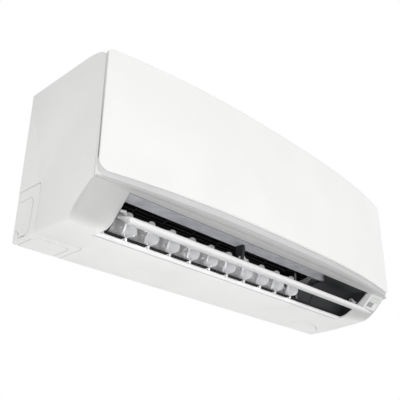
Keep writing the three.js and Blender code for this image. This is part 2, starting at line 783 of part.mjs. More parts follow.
function mountingPlate() {
  const middle = BODY_HEIGHT / 2;
  const foot = middle - plateHeight / 2;
  const top = middle + plateHeight / 2;
  let plate = block(-plateWidth / 2, plateWidth / 2, 0, PLATE_SHEET, foot, top);
  for (const side of [-1, 1]) {
    const x = side * plateHookPlace;
    const hook = [
      [0, top - PLATE_SHEET], [PLATE_HOOK_REACH, top - PLATE_SHEET],
      [PLATE_HOOK_REACH, top + PLATE_HOOK_RISE - PLATE_SHEET],
      [PLATE_HOOK_REACH - PLATE_SHEET, top + PLATE_HOOK_RISE - PLATE_SHEET],
      [PLATE_HOOK_REACH - PLATE_SHEET, top], [0, top],
    ];
    plate = plate.add(alongX(hook, x - PLATE_HOOK_WIDTH / 2, x + PLATE_HOOK_WIDTH / 2));
    for (let i = 1; i * PLATE_HOLE_PITCH < plateWidth / 2 - PLATE_HOLE_RADIUS; i += 1) {
      for (const height of [foot + PLATE_SLOT_HEIGHT, top - PLATE_SLOT_HEIGHT]) {
        const hole = barY(
          side * i * PLATE_HOLE_PITCH, height, PLATE_HOLE_RADIUS, -OVERRUN, PLATE_SHEET + OVERRUN,
          SMALL_ROUND_STEPS,
        );
        plate = plate.subtract(hole);
      }
    }
    const slot = block(
      x - PLATE_SLOT_WIDTH / 2, x + PLATE_SLOT_WIDTH / 2,
      -OVERRUN, PLATE_SHEET + OVERRUN, middle - PLATE_SLOT_HEIGHT / 2, middle + PLATE_SLOT_HEIGHT / 2,
    );
    plate = plate.subtract(slot);
  }
  return plate;
}

// Chassis: rear wall, scroll behind and under the fan, end walls and the bar that hangs on the wall plate

function scrollLine() {
  return shares(scrollShares, lipBack, FAN_HEIGHT);
}

function chassis() {
  const scrollTop = scrollLine()[0][1];
  const back = shares(backShares, END_DEPTH, BODY_HEIGHT - scrollTop).map(([depth, rise]) => (
    [depth, scrollTop + rise]
  ));
  const scroll = ribbon([...back, ...scrollLine()], -CHASSIS_WALL);
  const body = alongX(scroll, -chassisLeft + REST_GAP, chassisRight);
  const end = [
    ...moved(scrollLine(), -CHASSIS_WALL / 2),
    ...endWallShares.map(([u, v]) => [fanDepth + u * fanRadius, FAN_HEIGHT + v * fanRadius]),
  ];
  const walls = [
    alongX(end, -chassisLeft + REST_GAP, -chassisLeft + REST_GAP + CHASSIS_WALL),
    alongX(end, chassisRight - CHASSIS_WALL, chassisRight),
  ];
  const cheek = alongX(
    shares(cheekShares, END_DEPTH, OUTLET_TOP_HEIGHT),
    -outletHalf - REST_GAP - CHASSIS_WALL, -outletHalf - REST_GAP,
  );
  const hangerTop = BODY_HEIGHT / 2 + plateHeight / 2 + PLATE_HOOK_RISE - PLATE_SHEET + REST_GAP;
  const hanger = block(
    -chassisLeft + REST_GAP, chassisRight,
    PLATE_SHEET + REST_GAP, back[0][0], hangerTop, hangerTop + CHASSIS_WALL,
  );
  const drop = block(
    -chassisLeft + REST_GAP, chassisRight,
    PLATE_HOOK_REACH + REST_GAP, PLATE_HOOK_REACH + REST_GAP + CHASSIS_WALL, back[0][1] - CHASSIS_LEDGE,
    hangerTop + CHASSIS_WALL,
  );
  const shelf = block(
    -chassisLeft + REST_GAP, chassisRight,
    PLATE_HOOK_REACH + REST_GAP, back[0][0] + CHASSIS_WALL, back[0][1] - CHASSIS_WALL, back[0][1],
  );
  const bores = [-1, 1].map((side) => barX(
    fanDepth, FAN_HEIGHT, side < 0 ? BEARING_RADIUS + REST_GAP : FAN_HUB_RADIUS + RUN_GAP,
    side < 0 ? -chassisLeft - OVERRUN : chassisRight - CHASSIS_WALL - OVERRUN,
    side < 0 ? -chassisLeft + CHASSIS_WALL + OVERRUN : chassisRight + OVERRUN,
  ));
  const pinBore = barX(
    pivotDepth, PIVOT_HEIGHT, FLAP_PIN_RADIUS + REST_GAP,
    -outletHalf - CHASSIS_WALL - OVERRUN, -outletHalf + OVERRUN, SMALL_ROUND_STEPS,
  );
  const stops = [-1, 1].map((side) => block(
    side * plateHookPlace - CHASSIS_LEDGE, side * plateHookPlace + CHASSIS_LEDGE,
    PLATE_HOOK_REACH + REST_GAP, back[0][0], hangerTop, BODY_HEIGHT - WALL - REST_GAP,
  ));
  return cut(join(body, ...walls, cheek, hanger, drop, shelf, ...stops), ...bores, pinBore);
}

// Outlet floor, lip and the closed right end

const duct = new THREE.Vector2(Math.cos(vaneTilt), -Math.sin(vaneTilt));
const stand = new THREE.Vector2(Math.sin(vaneTilt), Math.cos(vaneTilt));

// [along, up] on the duct's floor at the vanes' feet, as [depth, height].
function onFloor([along, up]) {
  return [
    vaneFootDepth + along * duct.x + up * stand.x,
    VANE_FOOT_HEIGHT + along * duct.y + up * stand.y,
  ];
}

function vanePlace(index) {
  return vaneFirst + index * vanePitch;
}

function vaneBore(index, radius) {
  const geometry = new THREE.CylinderGeometry(radius, radius, BASE_SHEET + OVERRUN, SMALL_ROUND_STEPS);
  geometry.rotateX(Math.PI / 2 + vaneTilt);
  const [depth, height] = onFloor([0, -BASE_SHEET / 2 - REST_GAP]);
  geometry.translate(vanePlace(index), -depth, height);
  return toSolid(geometry);
}

function vaneBase() {
  const top = -REST_GAP;
  const strip = [
    onFloor([-BASE_WIDTH / 2, top]), onFloor([-BASE_WIDTH / 2, top - BASE_SHEET]),
    onFloor([BASE_WIDTH / 2, top - BASE_SHEET]), onFloor([BASE_WIDTH / 2, top]),
  ];
  let base = alongX(strip, -outletHalf + SIDE_PLAY, vanePlace(VANE_COUNT) - vanePitch / 2);
  const lipTop = lipCrest();
  for (let i = 0; i < VANE_COUNT; i += 1) {
    const x = vanePlace(i) + VANE_PIN_RADIUS + BASE_FOOT_WIDTH;
    const foot = [
      onFloor([0, top - BASE_SHEET / 2]), [lipTop[0] - LIP_WIDTH / 2, lipTop[1] + REST_GAP],
      [lipTop[0], lipTop[1] + REST_GAP], onFloor([BASE_WIDTH / 2, top - BASE_SHEET / 2]),
    ];
    base = base.add(alongX(foot, x, x + BASE_FOOT_WIDTH));
    base = base.subtract(vaneBore(i, VANE_PIN_RADIUS + REST_GAP));
  }
  return base;
}

function lipCrest() {
  return [slopeFoot - LIP_WIDTH / 2, LIP_RISE];
}

// The rounded strip along the outlet's lower edge.
function outletLip() {
  const back = lipBack + REST_GAP;
  const front = slopeFoot;
  const points = [[back, 0], [(back + front) / 2, 0]];
  for (let i = 0; i <= EDGE_STEPS; i += 1) {
    const angle = (i / EDGE_STEPS) * Math.PI - Math.PI / 2;
    points.push([
      front - (LIP_WIDTH / 2) * (1 - Math.cos(angle)),
      (LIP_RISE / 2) * (1 + Math.sin(angle)),
    ]);
  }
  points.push([back, LIP_RISE]);
  return alongX(points, -outletHalf + REST_GAP, outletHalf - OUTLET_RIGHT_SWEEP - REST_GAP);
}

// The duct's right end sweeps back from the lip to the fan's end.
function crestPlan(grow) {
  const left = vanePlace(VANE_COUNT) - vanePitch / 2 + REST_GAP;
  const front = slopeFoot - LIP_WIDTH;
  const back = fanDepth - fanRadius / 3;
  return crestShares.map(([u, v]) => [left + u * (fanRight - left) + grow, back + v * (front - back)]);
}

function ductEnd() {
  const wall = upward(ribbon(crestPlan(0), CHASSIS_WALL), 0, FAN_HEIGHT - fanRadius - SIDE_PLAY);
  const mouth = onFloor([BASE_WIDTH / 2, 0]);
  const floor = [
    ...scrollLine().map(([depth, height]) => [depth, height + REST_GAP]), mouth,
    [slopeFoot, mouth[1]], [slopeFoot, -OVERRUN], [0, -OVERRUN], [0, scrollLine()[0][1]],
  ];
  return wall.subtract(alongX(floor, 0, halfWidth));
}

// The dark wall that closes the outlet's right end, behind the flap.
function outletBlank() {
  const line = shares(blankShares, END_DEPTH, OUTLET_TOP_HEIGHT);
  const wall = alongX(ribbon(line, -CHASSIS_WALL), 0, outletHalf - REST_GAP);
  const keep = crestPlan(CHASSIS_WALL * 2 + SIDE_PLAY);
  const right = [[halfWidth, keep[keep.length - 1][1]], [halfWidth, END_DEPTH]];
  const region = upward([...keep, ...right, [keep[0][0], END_DEPTH]], -OVERRUN, BODY_HEIGHT);
  const skin = moved(slopeLine(), WALL * 2);
  const core = moved(line, -CHASSIS_WALL / 2);
  const cap = alongX(
    [...core.slice(1, core.length - 1).reverse(), ...skin.slice(2, skin.length - 1).reverse()],
    outletHalf - REST_GAP - CHASSIS_WALL, outletHalf - REST_GAP,
  );
  const pinBore = barX(
    pivotDepth, PIVOT_HEIGHT, FLAP_PIN_RADIUS + REST_GAP,
    outletHalf - CHASSIS_WALL - OVERRUN, outletHalf + OVERRUN, SMALL_ROUND_STEPS,
  );
  return join(wall.intersect(region), cap).subtract(pinBore);
}

// Drain pan

function panOutline() {
  return shares(panShares, END_DEPTH, PAN_HEIGHT).map(([depth, rise]) => [depth, panFoot + rise]);
}

// The height of the pan's underside at a depth.
function panUnderside(depth) {
  const [[frontDepth, frontHeight], [backDepth, backHeight]] = panOutline();
  return frontHeight + ((frontDepth - depth) / (frontDepth - backDepth)) * (backHeight - frontHeight);
}

function drainPan() {
  return alongX(panOutline(), -panLeft, panRight);
}

// Middle bracket that carries the flap

function flapBracket() {
  const half = BRACKET_WIDTH / 2;
  const top = (depth) => [depth, panUnderside(depth) - REST_GAP];
  const points = [top(pivotDepth - half), [pivotDepth - half, PIVOT_HEIGHT + BRACKET_RADIUS * 2]];
  for (let i = 0; i <= EDGE_STEPS * 2; i += 1) {
    const angle = Math.PI + (i / (EDGE_STEPS * 2)) * Math.PI;
    points.push([
      pivotDepth + BRACKET_RADIUS * Math.cos(angle), PIVOT_HEIGHT + BRACKET_RADIUS * Math.sin(angle),
    ]);
  }
  points.push([pivotDepth + half, PIVOT_HEIGHT + BRACKET_RADIUS * 2], top(pivotDepth + half));
  const left = -BRACKET_X - BRACKET_SHEET / 2;
  const plate = alongX(points, left, left + BRACKET_SHEET);
  const bore = barX(
    pivotDepth, PIVOT_HEIGHT, FLAP_PIN_RADIUS + REST_GAP, left - OVERRUN, left + BRACKET_SHEET + OVERRUN,
    SMALL_ROUND_STEPS,
  );
  return plate.subtract(bore);
}

// Flap: a blade with a thick round leading edge, hung on arms at both ends and in the middle

function flapSection(lead, tail, steps) {
  const points = [];
  for (let i = 0; i <= steps; i += 1) {
    const angle = Math.PI / 2 - (i / steps) * Math.PI;
    points.push([lead * Math.cos(angle), lead * Math.sin(angle)]);
  }
  points.push([-lead * 2, lead * flapWaistShares[0]]);
  points.push([-FLAP_CHORD * flapMiddleShare, tail * flapMiddleShares[0]]);
  const end = -FLAP_CHORD + lead + tail;
  for (let i = 0; i <= EDGE_STEPS; i += 1) {
    const angle = -Math.PI / 2 - (i / EDGE_STEPS) * Math.PI;
    points.push([end + tail * Math.cos(angle), tail * Math.sin(angle) + tail]);
  }
  points.push([-FLAP_CHORD * flapMiddleShare, tail * flapMiddleShares[1]]);
  points.push([-lead * 2, lead * flapWaistShares[1]]);
  return points;
}

// [along, up] on the flap, as [depth, height]. Along runs forward from the leading round's centre.
function onFlap([along, up]) {
  return [
    flapLeadDepth + along * Math.cos(flapSlope) + up * Math.sin(flapSlope),
    FLAP_LEAD_HEIGHT - along * Math.sin(flapSlope) + up * Math.cos(flapSlope),
  ];
}

function flapArm(left, sheet) {
  const foot = [onFlap([-FLAP_CHORD * flapArmShare, 0]), onFlap([-FLAP_LEAD_RADIUS, 0])];
  const shape = [foot[0], foot[1]];
  for (let i = 0; i <= EDGE_STEPS; i += 1) {
    const angle = (i / EDGE_STEPS) * Math.PI;
    shape.push([
      pivotDepth + FLAP_ARM_RADIUS * Math.cos(angle), PIVOT_HEIGHT + FLAP_ARM_RADIUS * Math.sin(angle),
    ]);
  }
  return alongX(shape, left, left + sheet);
}

function flapPin(left, right) {
  return barX(pivotDepth, PIVOT_HEIGHT, FLAP_PIN_RADIUS, left, right, SMALL_ROUND_STEPS);
}

function flap() {
  const steps = EDGE_STEPS * 2;
  const places = [
    -flapLeft, -flapLeft + FLAP_LEAD_RADIUS / 2,
    flapRight - FLAP_TAPER, flapRight - FLAP_TAPER / 3, flapRight,
  ];
  const blade = loft(places, (x) => {
    const lead = FLAP_LEAD_RADIUS * flapEndShares[places.indexOf(x)];
    return flapSection(lead, Math.min(FLAP_TAIL_RADIUS, lead / 2), steps).map(onFlap);
  });
  const trim = flapEndTrim();
  const arms = [
    flapArm(-flapArmPlace - FLAP_ARM_SHEET, FLAP_ARM_SHEET),
    flapArm(flapArmPlace, FLAP_ARM_SHEET),
    flapArm(-BRACKET_X + BRACKET_SHEET / 2 + RUN_GAP, FLAP_ARM_SHEET),
  ];
  const pins = [
    flapPin(flapPinLeft, -flapArmPlace),
    flapPin(flapArmPlace, flapPinRight),
    flapPin(-BRACKET_X - BRACKET_SHEET / 2, -BRACKET_X + BRACKET_SHEET / 2 + RUN_GAP + FLAP_ARM_SHEET),
  ];
  return join(cut(blade, ...trim), ...arms, ...pins);
}

// Beyond the outlet's ends only the leading edge is kept, so the flap clears the casing.
function flapEndTrim() {
  const back = onFlap([-FLAP_LEAD_RADIUS, FLAP_CHORD]);
  const behind = [
    onFlap([-FLAP_LEAD_RADIUS, -FLAP_CHORD]), back,
    onFlap([-FLAP_CHORD * 2, FLAP_CHORD]), onFlap([-FLAP_CHORD * 2, -FLAP_CHORD]),
  ];
  return [
    alongX(behind, -flapLeft - OVERRUN, -outletHalf + FLAP_END_SETBACK),
    alongX(behind, outletHalf - FLAP_END_SETBACK, flapRight + OVERRUN),
  ];
}

// Vanes

function vaneSolid() {
  const back = vaneBackShares.map(([u, v]) => [u * VANE_BACK, v * VANE_HEIGHT]);
  const front = vaneFrontShares.map(([u, v]) => [u * VANE_FRONT, v * VANE_HEIGHT]);
  const outline = [...front, [VANE_LUG_RADIUS / 2, VANE_HEIGHT], ...back];
  const geometry = new THREE.ExtrudeGeometry(shapeOf(outline), { depth: VANE_SHEET, bevelEnabled: false });
  geometry.translate(0, 0, -VANE_SHEET / 2);
  const plate = toSolid(geometry);
  const pinGeometry = new THREE.CylinderGeometry(
    VANE_PIN_RADIUS, VANE_PIN_RADIUS, VANE_HEIGHT + VANE_PIN_LENGTH, SMALL_ROUND_STEPS,
  );
  pinGeometry.translate(0, (VANE_HEIGHT - VANE_PIN_LENGTH) / 2, 0);
  const lug = new THREE.CylinderGeometry(VANE_LUG_RADIUS, VANE_LUG_RADIUS, VANE_SHEET * 2, ROUND_STEPS);
  lug.rotateX(Math.PI / 2);
  lug.translate(0, VANE_HEIGHT, 0);
  const notchFront = -LINK_ARM * Math.cos(vaneTurn) + LINK_WIDTH / 2 + SIDE_PLAY;
  const notch = new THREE.BoxGeometry(VANE_BACK, LINK_SHEET + RUN_GAP * 2, VANE_SHEET + OVERRUN);
  notch.translate(notchFront - VANE_BACK / 2, LINK_PLACE, 0);
  const linkPin = new THREE.CylinderGeometry(
    LINK_PIN_RADIUS, LINK_PIN_RADIUS, LINK_SHEET * 2 + RUN_GAP * 2, SMALL_ROUND_STEPS,
  );
  linkPin.translate(-LINK_ARM, LINK_PLACE, 0);
  return join(plate.subtract(toSolid(notch)), toSolid(pinGeometry), toSolid(lug), toSolid(linkPin));
}

// A vane is drawn as [along the duct, up its axis] and set on the floor, turned about its own axis.
function vaneMatrix(index) {
  const along = new THREE.Vector3(0, -duct.x, duct.y);
  const up = new THREE.Vector3(0, -stand.x, stand.y);
  const across = new THREE.Vector3().crossVectors(along, up);
  const [depth, height] = onFloor([0, 0]);
  return new THREE.Matrix4()
    .makeTranslation(vanePlace(index), -depth, height)
    .multiply(new THREE.Matrix4().makeBasis(along, up, across))
    .multiply(new THREE.Matrix4().makeRotationY(vaneTurn));
}

function vaneLink() {
  const offset = LINK_ARM * Math.sin(vaneTurn);
  const reach = LINK_ARM * Math.cos(vaneTurn);
  const low = LINK_PLACE - LINK_SHEET / 2;
  const high = LINK_PLACE + LINK_SHEET / 2;
  const near = -reach + LINK_WIDTH / 2;
  const far = -reach - LINK_WIDTH / 2 - LINK_PIN_RADIUS;
  const strip = [onFloor([near, low]), onFloor([near, high]), onFloor([far, high]), onFloor([far, low])];
  const [first, last] = [vanePlace(0) - offset, vanePlace(VANE_COUNT - 1) - offset];
  let link = alongX(strip, first - LINK_WIDTH, last + LINK_WIDTH);
  for (let i = 0; i < VANE_COUNT; i += 1) {
    const wide = LINK_PIN_RADIUS + RUN_GAP;
    const ahead = -reach + wide + RUN_GAP;
    const behind = -LINK_ARM - wide - RUN_GAP;
    const hole = [
      onFloor([ahead, low - OVERRUN]), onFloor([ahead, high + OVERRUN]),
      onFloor([behind, high + OVERRUN]), onFloor([behind, low - OVERRUN]),
    ];
    const x = vanePlace(i) - offset;
    link = link.subtract(alongX(hole, x - wide, x + wide));
  }
  return link;
}

// Fan

function fan() {
  const pitch = (Math.PI * 2) / FAN_BLADES;
  const parts = [];
  for (let i = 0; i <= FAN_SECTIONS; i += 1) {
    const x = fanLeft + (i / FAN_SECTIONS) * (fanRight - fanLeft - FAN_DISC);
    parts.push(barX(fanDepth, FAN_HEIGHT, fanRadius, x, x + FAN_DISC, FAN_BLADES));
  }
  for (let i = 0; i < FAN_BLADES; i += 1) {
    const turn = i * pitch;
    const blade = [];
    for (const [outward, lag] of bladeShares) {
      const radius = fanInnerRadius + outward * (fanRadius - fanInnerRadius);
      const angle = turn - lag * pitch;
      blade.push([fanDepth + radius * Math.cos(angle), FAN_HEIGHT + radius * Math.sin(angle)]);
    }
    parts.push(alongX(ribbon(blade, FAN_BLADE_SHEET), fanLeft, fanRight - FAN_DISC / 2));
  }
  const stub = barX(fanDepth, FAN_HEIGHT, SHAFT_RADIUS, -chassisLeft - RUN_GAP, fanLeft + FAN_DISC);
  const hub = barX(fanDepth, FAN_HEIGHT, FAN_HUB_RADIUS, fanRight - FAN_DISC, chassisRight + RUN_GAP);
  const bore = barX(
    fanDepth, FAN_HEIGHT, SHAFT_RADIUS + REST_GAP, fanRight - FAN_DISC * 2, chassisRight + OVERRUN,
  );
  return join(...parts, stub, hub).subtract(bore);
}

function ring(inner, outer, left, right) {
  return cut(
    barX(fanDepth, FAN_HEIGHT, outer, left, right),
    barX(fanDepth, FAN_HEIGHT, inner, left - OVERRUN, right + OVERRUN),
  );
}

function fanBearing() {
  const left = -chassisLeft + REST_GAP;
  return ring(SHAFT_RADIUS + REST_GAP, BEARING_RADIUS, left, left + CHASSIS_WALL);
}

function motorLeft() {
  return chassisRight + MOTOR_GAP;
}

function fanMotor() {
  const left = motorLeft();
  const body = barX(fanDepth, FAN_HEIGHT, MOTOR_RADIUS, left, left + MOTOR_LENGTH, ROUND_STEPS * 2);
  const nose = barX(
    fanDepth, FAN_HEIGHT, FAN_HUB_RADIUS, left - MOTOR_GAP / 2, left + MOTOR_LENGTH + MOTOR_GAP / 2,
  );
  const bore = barX(fanDepth, FAN_HEIGHT, SHAFT_RADIUS + REST_GAP, left - MOTOR_GAP, left + MOTOR_LENGTH / 2);
  return join(body, nose).subtract(bore);
}

function motorShaft() {
  return barX(
    fanDepth, FAN_HEIGHT, SHAFT_RADIUS, fanRight + REST_GAP, motorLeft() + MOTOR_LENGTH / 2 - REST_GAP,
  );
}

// A saddle under the motor, standing on the casing's floor, with a band over the motor.
function motorClamp() {
  const left = motorLeft() + (MOTOR_LENGTH - CLAMP_WIDTH) / 2;
  const outer = barX(
    fanDepth, FAN_HEIGHT, MOTOR_RADIUS + REST_GAP + CLAMP_SHEET, left, left + CLAMP_WIDTH, ROUND_STEPS * 2,
  );
  const foot = block(
    left, left + CLAMP_WIDTH, fanDepth - MOTOR_RADIUS / 2, fanDepth, WALL + REST_GAP, FAN_HEIGHT,
  );
  const bore = barX(
    fanDepth, FAN_HEIGHT, MOTOR_RADIUS + REST_GAP,
    left - OVERRUN, left + CLAMP_WIDTH + OVERRUN, ROUND_STEPS * 2,
  );
  return join(outer, foot).subtract(bore);
}

// Coil

function coilLine(index) {
  return shares(coilShares[index], END_DEPTH, BODY_HEIGHT - coilFoot).map(([depth, rise]) => (
    [depth, coilFoot + rise]
  ));
}

function slabOutline(index, grow) {
  const [start, end] = coilLine(index);
  const run = Math.hypot(end[0] - start[0], end[1] - start[1]);
  const along = [(end[0] - start[0]) / run, (end[1] - start[1]) / run];
  const half = COIL_THICKNESS / 2 + grow;
  const corner = (point, side, sign) => [
    point[0] - side * half * along[1] + sign * grow * along[0],
    point[1] + side * half * along[0] + sign * grow * along[1],
  ];
  return [corner(start, -1, -1), corner(end, -1, 1), corner(end, 1, 1), corner(start, 1, -1)];
}

function coilSlab(index) {
  return alongX(slabOutline(index, 0), -coilLeft, coilRight);
}

// A half-turn bend of tube on the end of a slab.
function returnBend(index, from, to, x, side) {
  const [start, end] = coilLine(index);
  const at = (share) => new THREE.Vector3(
    x, -(start[0] + share * (end[0] - start[0])), start[1] + share * (end[1] - start[1]),
  );
  const a = at(from);
  const b = at(to);
  const middle = a.clone().add(b).multiplyScalar(1 / 2);
  const spread = b.clone().sub(a).multiplyScalar(1 / 2);
  const out = new THREE.Vector3(side * BEND_RADIUS, 0, 0);
  const points = [a.clone().sub(out.clone().multiplyScalar(TUBE_PLATE / BEND_RADIUS / 2))];
  for (let i = 0; i <= EDGE_STEPS; i += 1) {
    const angle = (i / EDGE_STEPS) * Math.PI;
    points.push(middle.clone()
      .addScaledVector(spread, -Math.cos(angle))
      .addScaledVector(out, Math.sin(angle)));
  }
  points.push(b.clone().sub(out.clone().multiplyScalar(TUBE_PLATE / BEND_RADIUS / 2)));
  return tube(points, BEND_TUBE_RADIUS, TUBE_SIDES);
}

function tube(points, radius, sides) {
  const circle = [];
  for (let i = 0; i < sides; i += 1) {
    const angle = (i / sides) * Math.PI * 2;
    circle.push(new THREE.Vector2(radius * Math.cos(angle), radius * Math.sin(angle)));
  }
  const geometry = new THREE.ExtrudeGeometry(new THREE.Shape(circle), {
    steps: points.length,
    extrudePath: new THREE.CatmullRomCurve3(points, false, 'centripetal'),
    bevelEnabled: false,
  });
  return toSolid(geometry);
}

function tubePlate(side) {
  const left = side < 0 ? -coilLeft - REST_GAP - TUBE_PLATE : coilRight + REST_GAP;
  const face = side < 0 ? left : left + TUBE_PLATE;
  const sheets = coilShares.map((line, index) => (
    alongX(slabOutline(index, REST_GAP), left, left + TUBE_PLATE)
  ));
  const onSlab = (index, share) => {
    const [start, end] = coilLine(index);
    return [start[0] + share * (end[0] - start[0]), start[1] + share * (end[1] - start[1])];
  };
  const ties = [0, 1].map((index) => alongX(
    ribbon([onSlab(index, 1 - tieShare), onSlab(index + 1, tieShare)], COIL_THICKNESS / 2),
    left, left + TUBE_PLATE,
  ));
  const bends = [];
  coilShares.forEach((line, index) => {
    for (const [from, to] of bendShares) {
      bends.push(returnBend(index, from, to, face, side));
    }
  });
  return join(...sheets, ...ties, ...bends);
}

// Pipes run from the coil's right end down to the rear channel and along it to the left.
function pipe(radius, startShare, drop, reach) {
  const [start, end] = coilLine(2);
  const x = coilRight + REST_GAP + TUBE_PLATE + RUN_GAP;
  const depth = start[0] + startShare * (end[0] - start[0]);
  const height = start[1] + startShare * (end[1] - start[1]);
  const rear = CHASSIS_BACK_DEPTH + PLATE_HOOK_REACH + radius * 2;
  const turn = x + PIPE_BEND;
  const points = [
    [x, depth, height], [x + PIPE_BEND / 3, depth, height], [turn - PIPE_BEND / 4, depth, height],
    [turn, depth, height - PIPE_BEND / 3],
    [turn, (depth + rear) / 2, height - PIPE_BEND * 2], [turn, rear, drop + PIPE_BEND],
    [turn - PIPE_BEND / 3, rear, drop + PIPE_BEND / 4], [turn - PIPE_BEND, rear, drop], [reach, rear, drop],
  ].map(([px, d, z]) => new THREE.Vector3(px, -d, z));
  return tube(points, radius, TUBE_SIDES);
}

function flareNut(radius, drop, reach) {
  const rear = CHASSIS_BACK_DEPTH + PLATE_HOOK_REACH + radius * 2;
  return barX(rear, drop, radius + NUT_GROWTH, reach - REST_GAP - NUT_LENGTH, reach - REST_GAP, NUT_SIDES);
}

// Filters

function filter(side) {
  const [left, right] = filterSpan(side);
  const foot = panTop + REST_GAP;
  const back = filterDepth;
  let plate = block(left, right, back, back + FILTER_SHEET, foot, filterTop);
  const paneWidth = (right - left - FILTER_FRAME * 2 - FILTER_RIB * (FILTER_COLUMNS - 1)) / FILTER_COLUMNS;
  const paneHeight = (filterTop - foot - FILTER_FRAME * 2 - FILTER_RIB * (FILTER_ROWS - 1)) / FILTER_ROWS;
  for (let column = 0; column < FILTER_COLUMNS; column += 1) {
    for (let row = 0; row < FILTER_ROWS; row += 1) {
      const x = left + FILTER_FRAME + column * (paneWidth + FILTER_RIB);
      const z = foot + FILTER_FRAME + row * (paneHeight + FILTER_RIB);
      const pocket = block(
        x, x + paneWidth, back + FILTER_NET, back + FILTER_SHEET + OVERRUN, z, z + paneHeight,
      );
      plate = plate.subtract(pocket);
    }
  }
  return plate;
}

// Electrical parts

function controlBox() {
  const outer = block(boxLeft, boxRight, BOX_BACK_DEPTH, boxFront, BOX_FOOT, boxTop);
  const inner = block(
    boxLeft + BOX_WALL, boxRight - BOX_WALL,
    BOX_BACK_DEPTH + BOX_WALL, boxFront + OVERRUN, BOX_FOOT + BOX_WALL, boxTop - BOX_WALL,
  );
  return outer.subtract(inner);
}

function controlBoard() {
  const back = BOX_BACK_DEPTH + BOX_WALL + REST_GAP;
  const board = block(
    boxLeft + BOARD_MARGIN, boxRight - BOARD_MARGIN, back + BOARD_MARGIN, back + BOARD_MARGIN + BOARD_SHEET,
    BOX_FOOT + BOARD_MARGIN * 4, boxTop - BOARD_MARGIN,
  );
  const feet = [];
  for (const x of [boxLeft + BOARD_MARGIN * 2, boxRight - BOARD_MARGIN * 2]) {
    for (const z of [BOX_FOOT + BOARD_MARGIN * 5, boxTop - BOARD_MARGIN * 2]) {
      feet.push(barY(x, z, BOX_WALL, back, back + BOARD_MARGIN + BOARD_SHEET / 2, SMALL_ROUND_STEPS));
    }
  }
  return join(board, ...feet);
}

function terminalBlock() {
  const middle = (boxLeft + boxRight) / 2;
  const back = BOX_BACK_DEPTH + BOX_WALL + REST_GAP;
  const foot = BOX_FOOT + BOX_WALL + REST_GAP;
  return block(
    middle - TERMINAL_WIDTH / 2, middle + TERMINAL_WIDTH / 2, back, back + TERMINAL_DEPTH,
    foot, foot + TERMINAL_HEIGHT,
  );
}

function controlCover() {
  const back = boxFront + REST_GAP;
  return block(boxLeft, boxRight, back, back + COVER_SHEET, BOX_FOOT, boxTop);
}

// Display on the slope, right of the outlet

function displayBezel() {
  const tray = displayBlock(0, 0, DISPLAY_SINK);
  return cut(tray, windowBlock(-REST_GAP, true), windowBlock(-REST_GAP, false));
}

function windowBlock(gap, clear) {
  const split = displayFoot + (displayTop - displayFoot) * displaySplitShare;
  const back = clear ? split + WINDOW_MARGIN / 4 : displayFoot + WINDOW_MARGIN;
  const front = clear ? displayTop - WINDOW_MARGIN : split - WINDOW_MARGIN / 4;
  const left = displayLeft + WINDOW_MARGIN * 2;
  const right = clear ? displayRight - WINDOW_MARGIN : left + (displayRight - displayLeft) * receiverShare;
  const rise = gap < 0 ? OVERRUN : 0;
  return slopeBlock(left + gap, right - gap, back + gap, front - gap, rise, WINDOW_SHEET - gap);
}

function runButton() {
  const half = BUTTON_SIZE / 2;
  const front = END_DEPTH + bow(buttonPlace, BODY_BOW) - BUTTON_SINK;
  const stem = block(
    buttonPlace - half, buttonPlace + half,
    front - BUTTON_LENGTH, front, BUTTON_HEIGHT - half, BUTTON_HEIGHT + half,
  );
  const seat = END_DEPTH + bow(buttonPlace + BUTTON_SIZE, BODY_BOW) - WALL - REST_GAP;
  const flange = block(
    buttonPlace - BUTTON_SIZE, buttonPlace + BUTTON_SIZE,
    front - BUTTON_LENGTH, seat, BUTTON_HEIGHT - BUTTON_SIZE, BUTTON_HEIGHT + BUTTON_SIZE,
  );
  return join(stem, flange);
}

// Motors of the flap and the vanes

function flapMotor() {
  const left = flapPinRight + REST_GAP;
  const [inDepth, inHeight] = slopeInward();
  return barX(
    pivotDepth + FLAP_MOTOR_OFFSET * inDepth, PIVOT_HEIGHT + FLAP_MOTOR_OFFSET * inHeight,
    STEP_MOTOR_RADIUS, left, left + STEP_MOTOR_LENGTH,
  );
}

function vaneMotor() {
  const [depth, height] = onFloor([-LINK_ARM, LINK_PLACE]);
  const left = chassisRight + REST_GAP;
  return barX(depth - STEP_MOTOR_RADIUS, height, STEP_MOTOR_RADIUS, left, left + STEP_MOTOR_LENGTH);
}

// Assembly

const model = new THREE.Group();
const unit = new THREE.Group();
unit.position.z = -BODY_HEIGHT / 2;
model.add(unit);

const finishes = {
  white: { color: 0xececec, roughness: 0.4, metalness: 0 },
  gloss: { color: 0xf8f8f8, roughness: 0.12, metalness: 0 },
  grey: { color: 0xcfcfcf, roughness: 0.45, metalness: 0 },
  silver: { color: 0xa8a8ad, roughness: 0.45, metalness: 0 },
  charcoal: { color: 0x2f3032, roughness: 0.5, metalness: 0 },
  black: { color: 0x151515, roughness: 0.5, metalness: 0 },
  steel: { color: 0xb9bcc0, roughness: 0.35, metalness: 1 },
  fins: { color: 0xc9ccd0, roughness: 0.4, metalness: 1 },
  copper: { color: 0xb87348, roughness: 0.3, metalness: 1 },
  brass: { color: 0xc8a552, roughness: 0.3, metalness: 1 },
  board: { color: 0x2f6b3c, roughness: 0.5, metalness: 0 },
  window: { color: 0xdde3da, roughness: 0.15, metalness: 0 },
  receiver: { color: 0xa9a9a9, roughness: 0.25, metalness: 0 },
};

function addPiece(name, solid, finish, matrix = null) {
  const mesh = new THREE.Mesh(toGeometry(solid), new THREE.MeshStandardMaterial(finishes[finish]));
  mesh.name = name;
  if (matrix) {
    mesh.applyMatrix4(matrix);
  }
  unit.add(mesh);
}

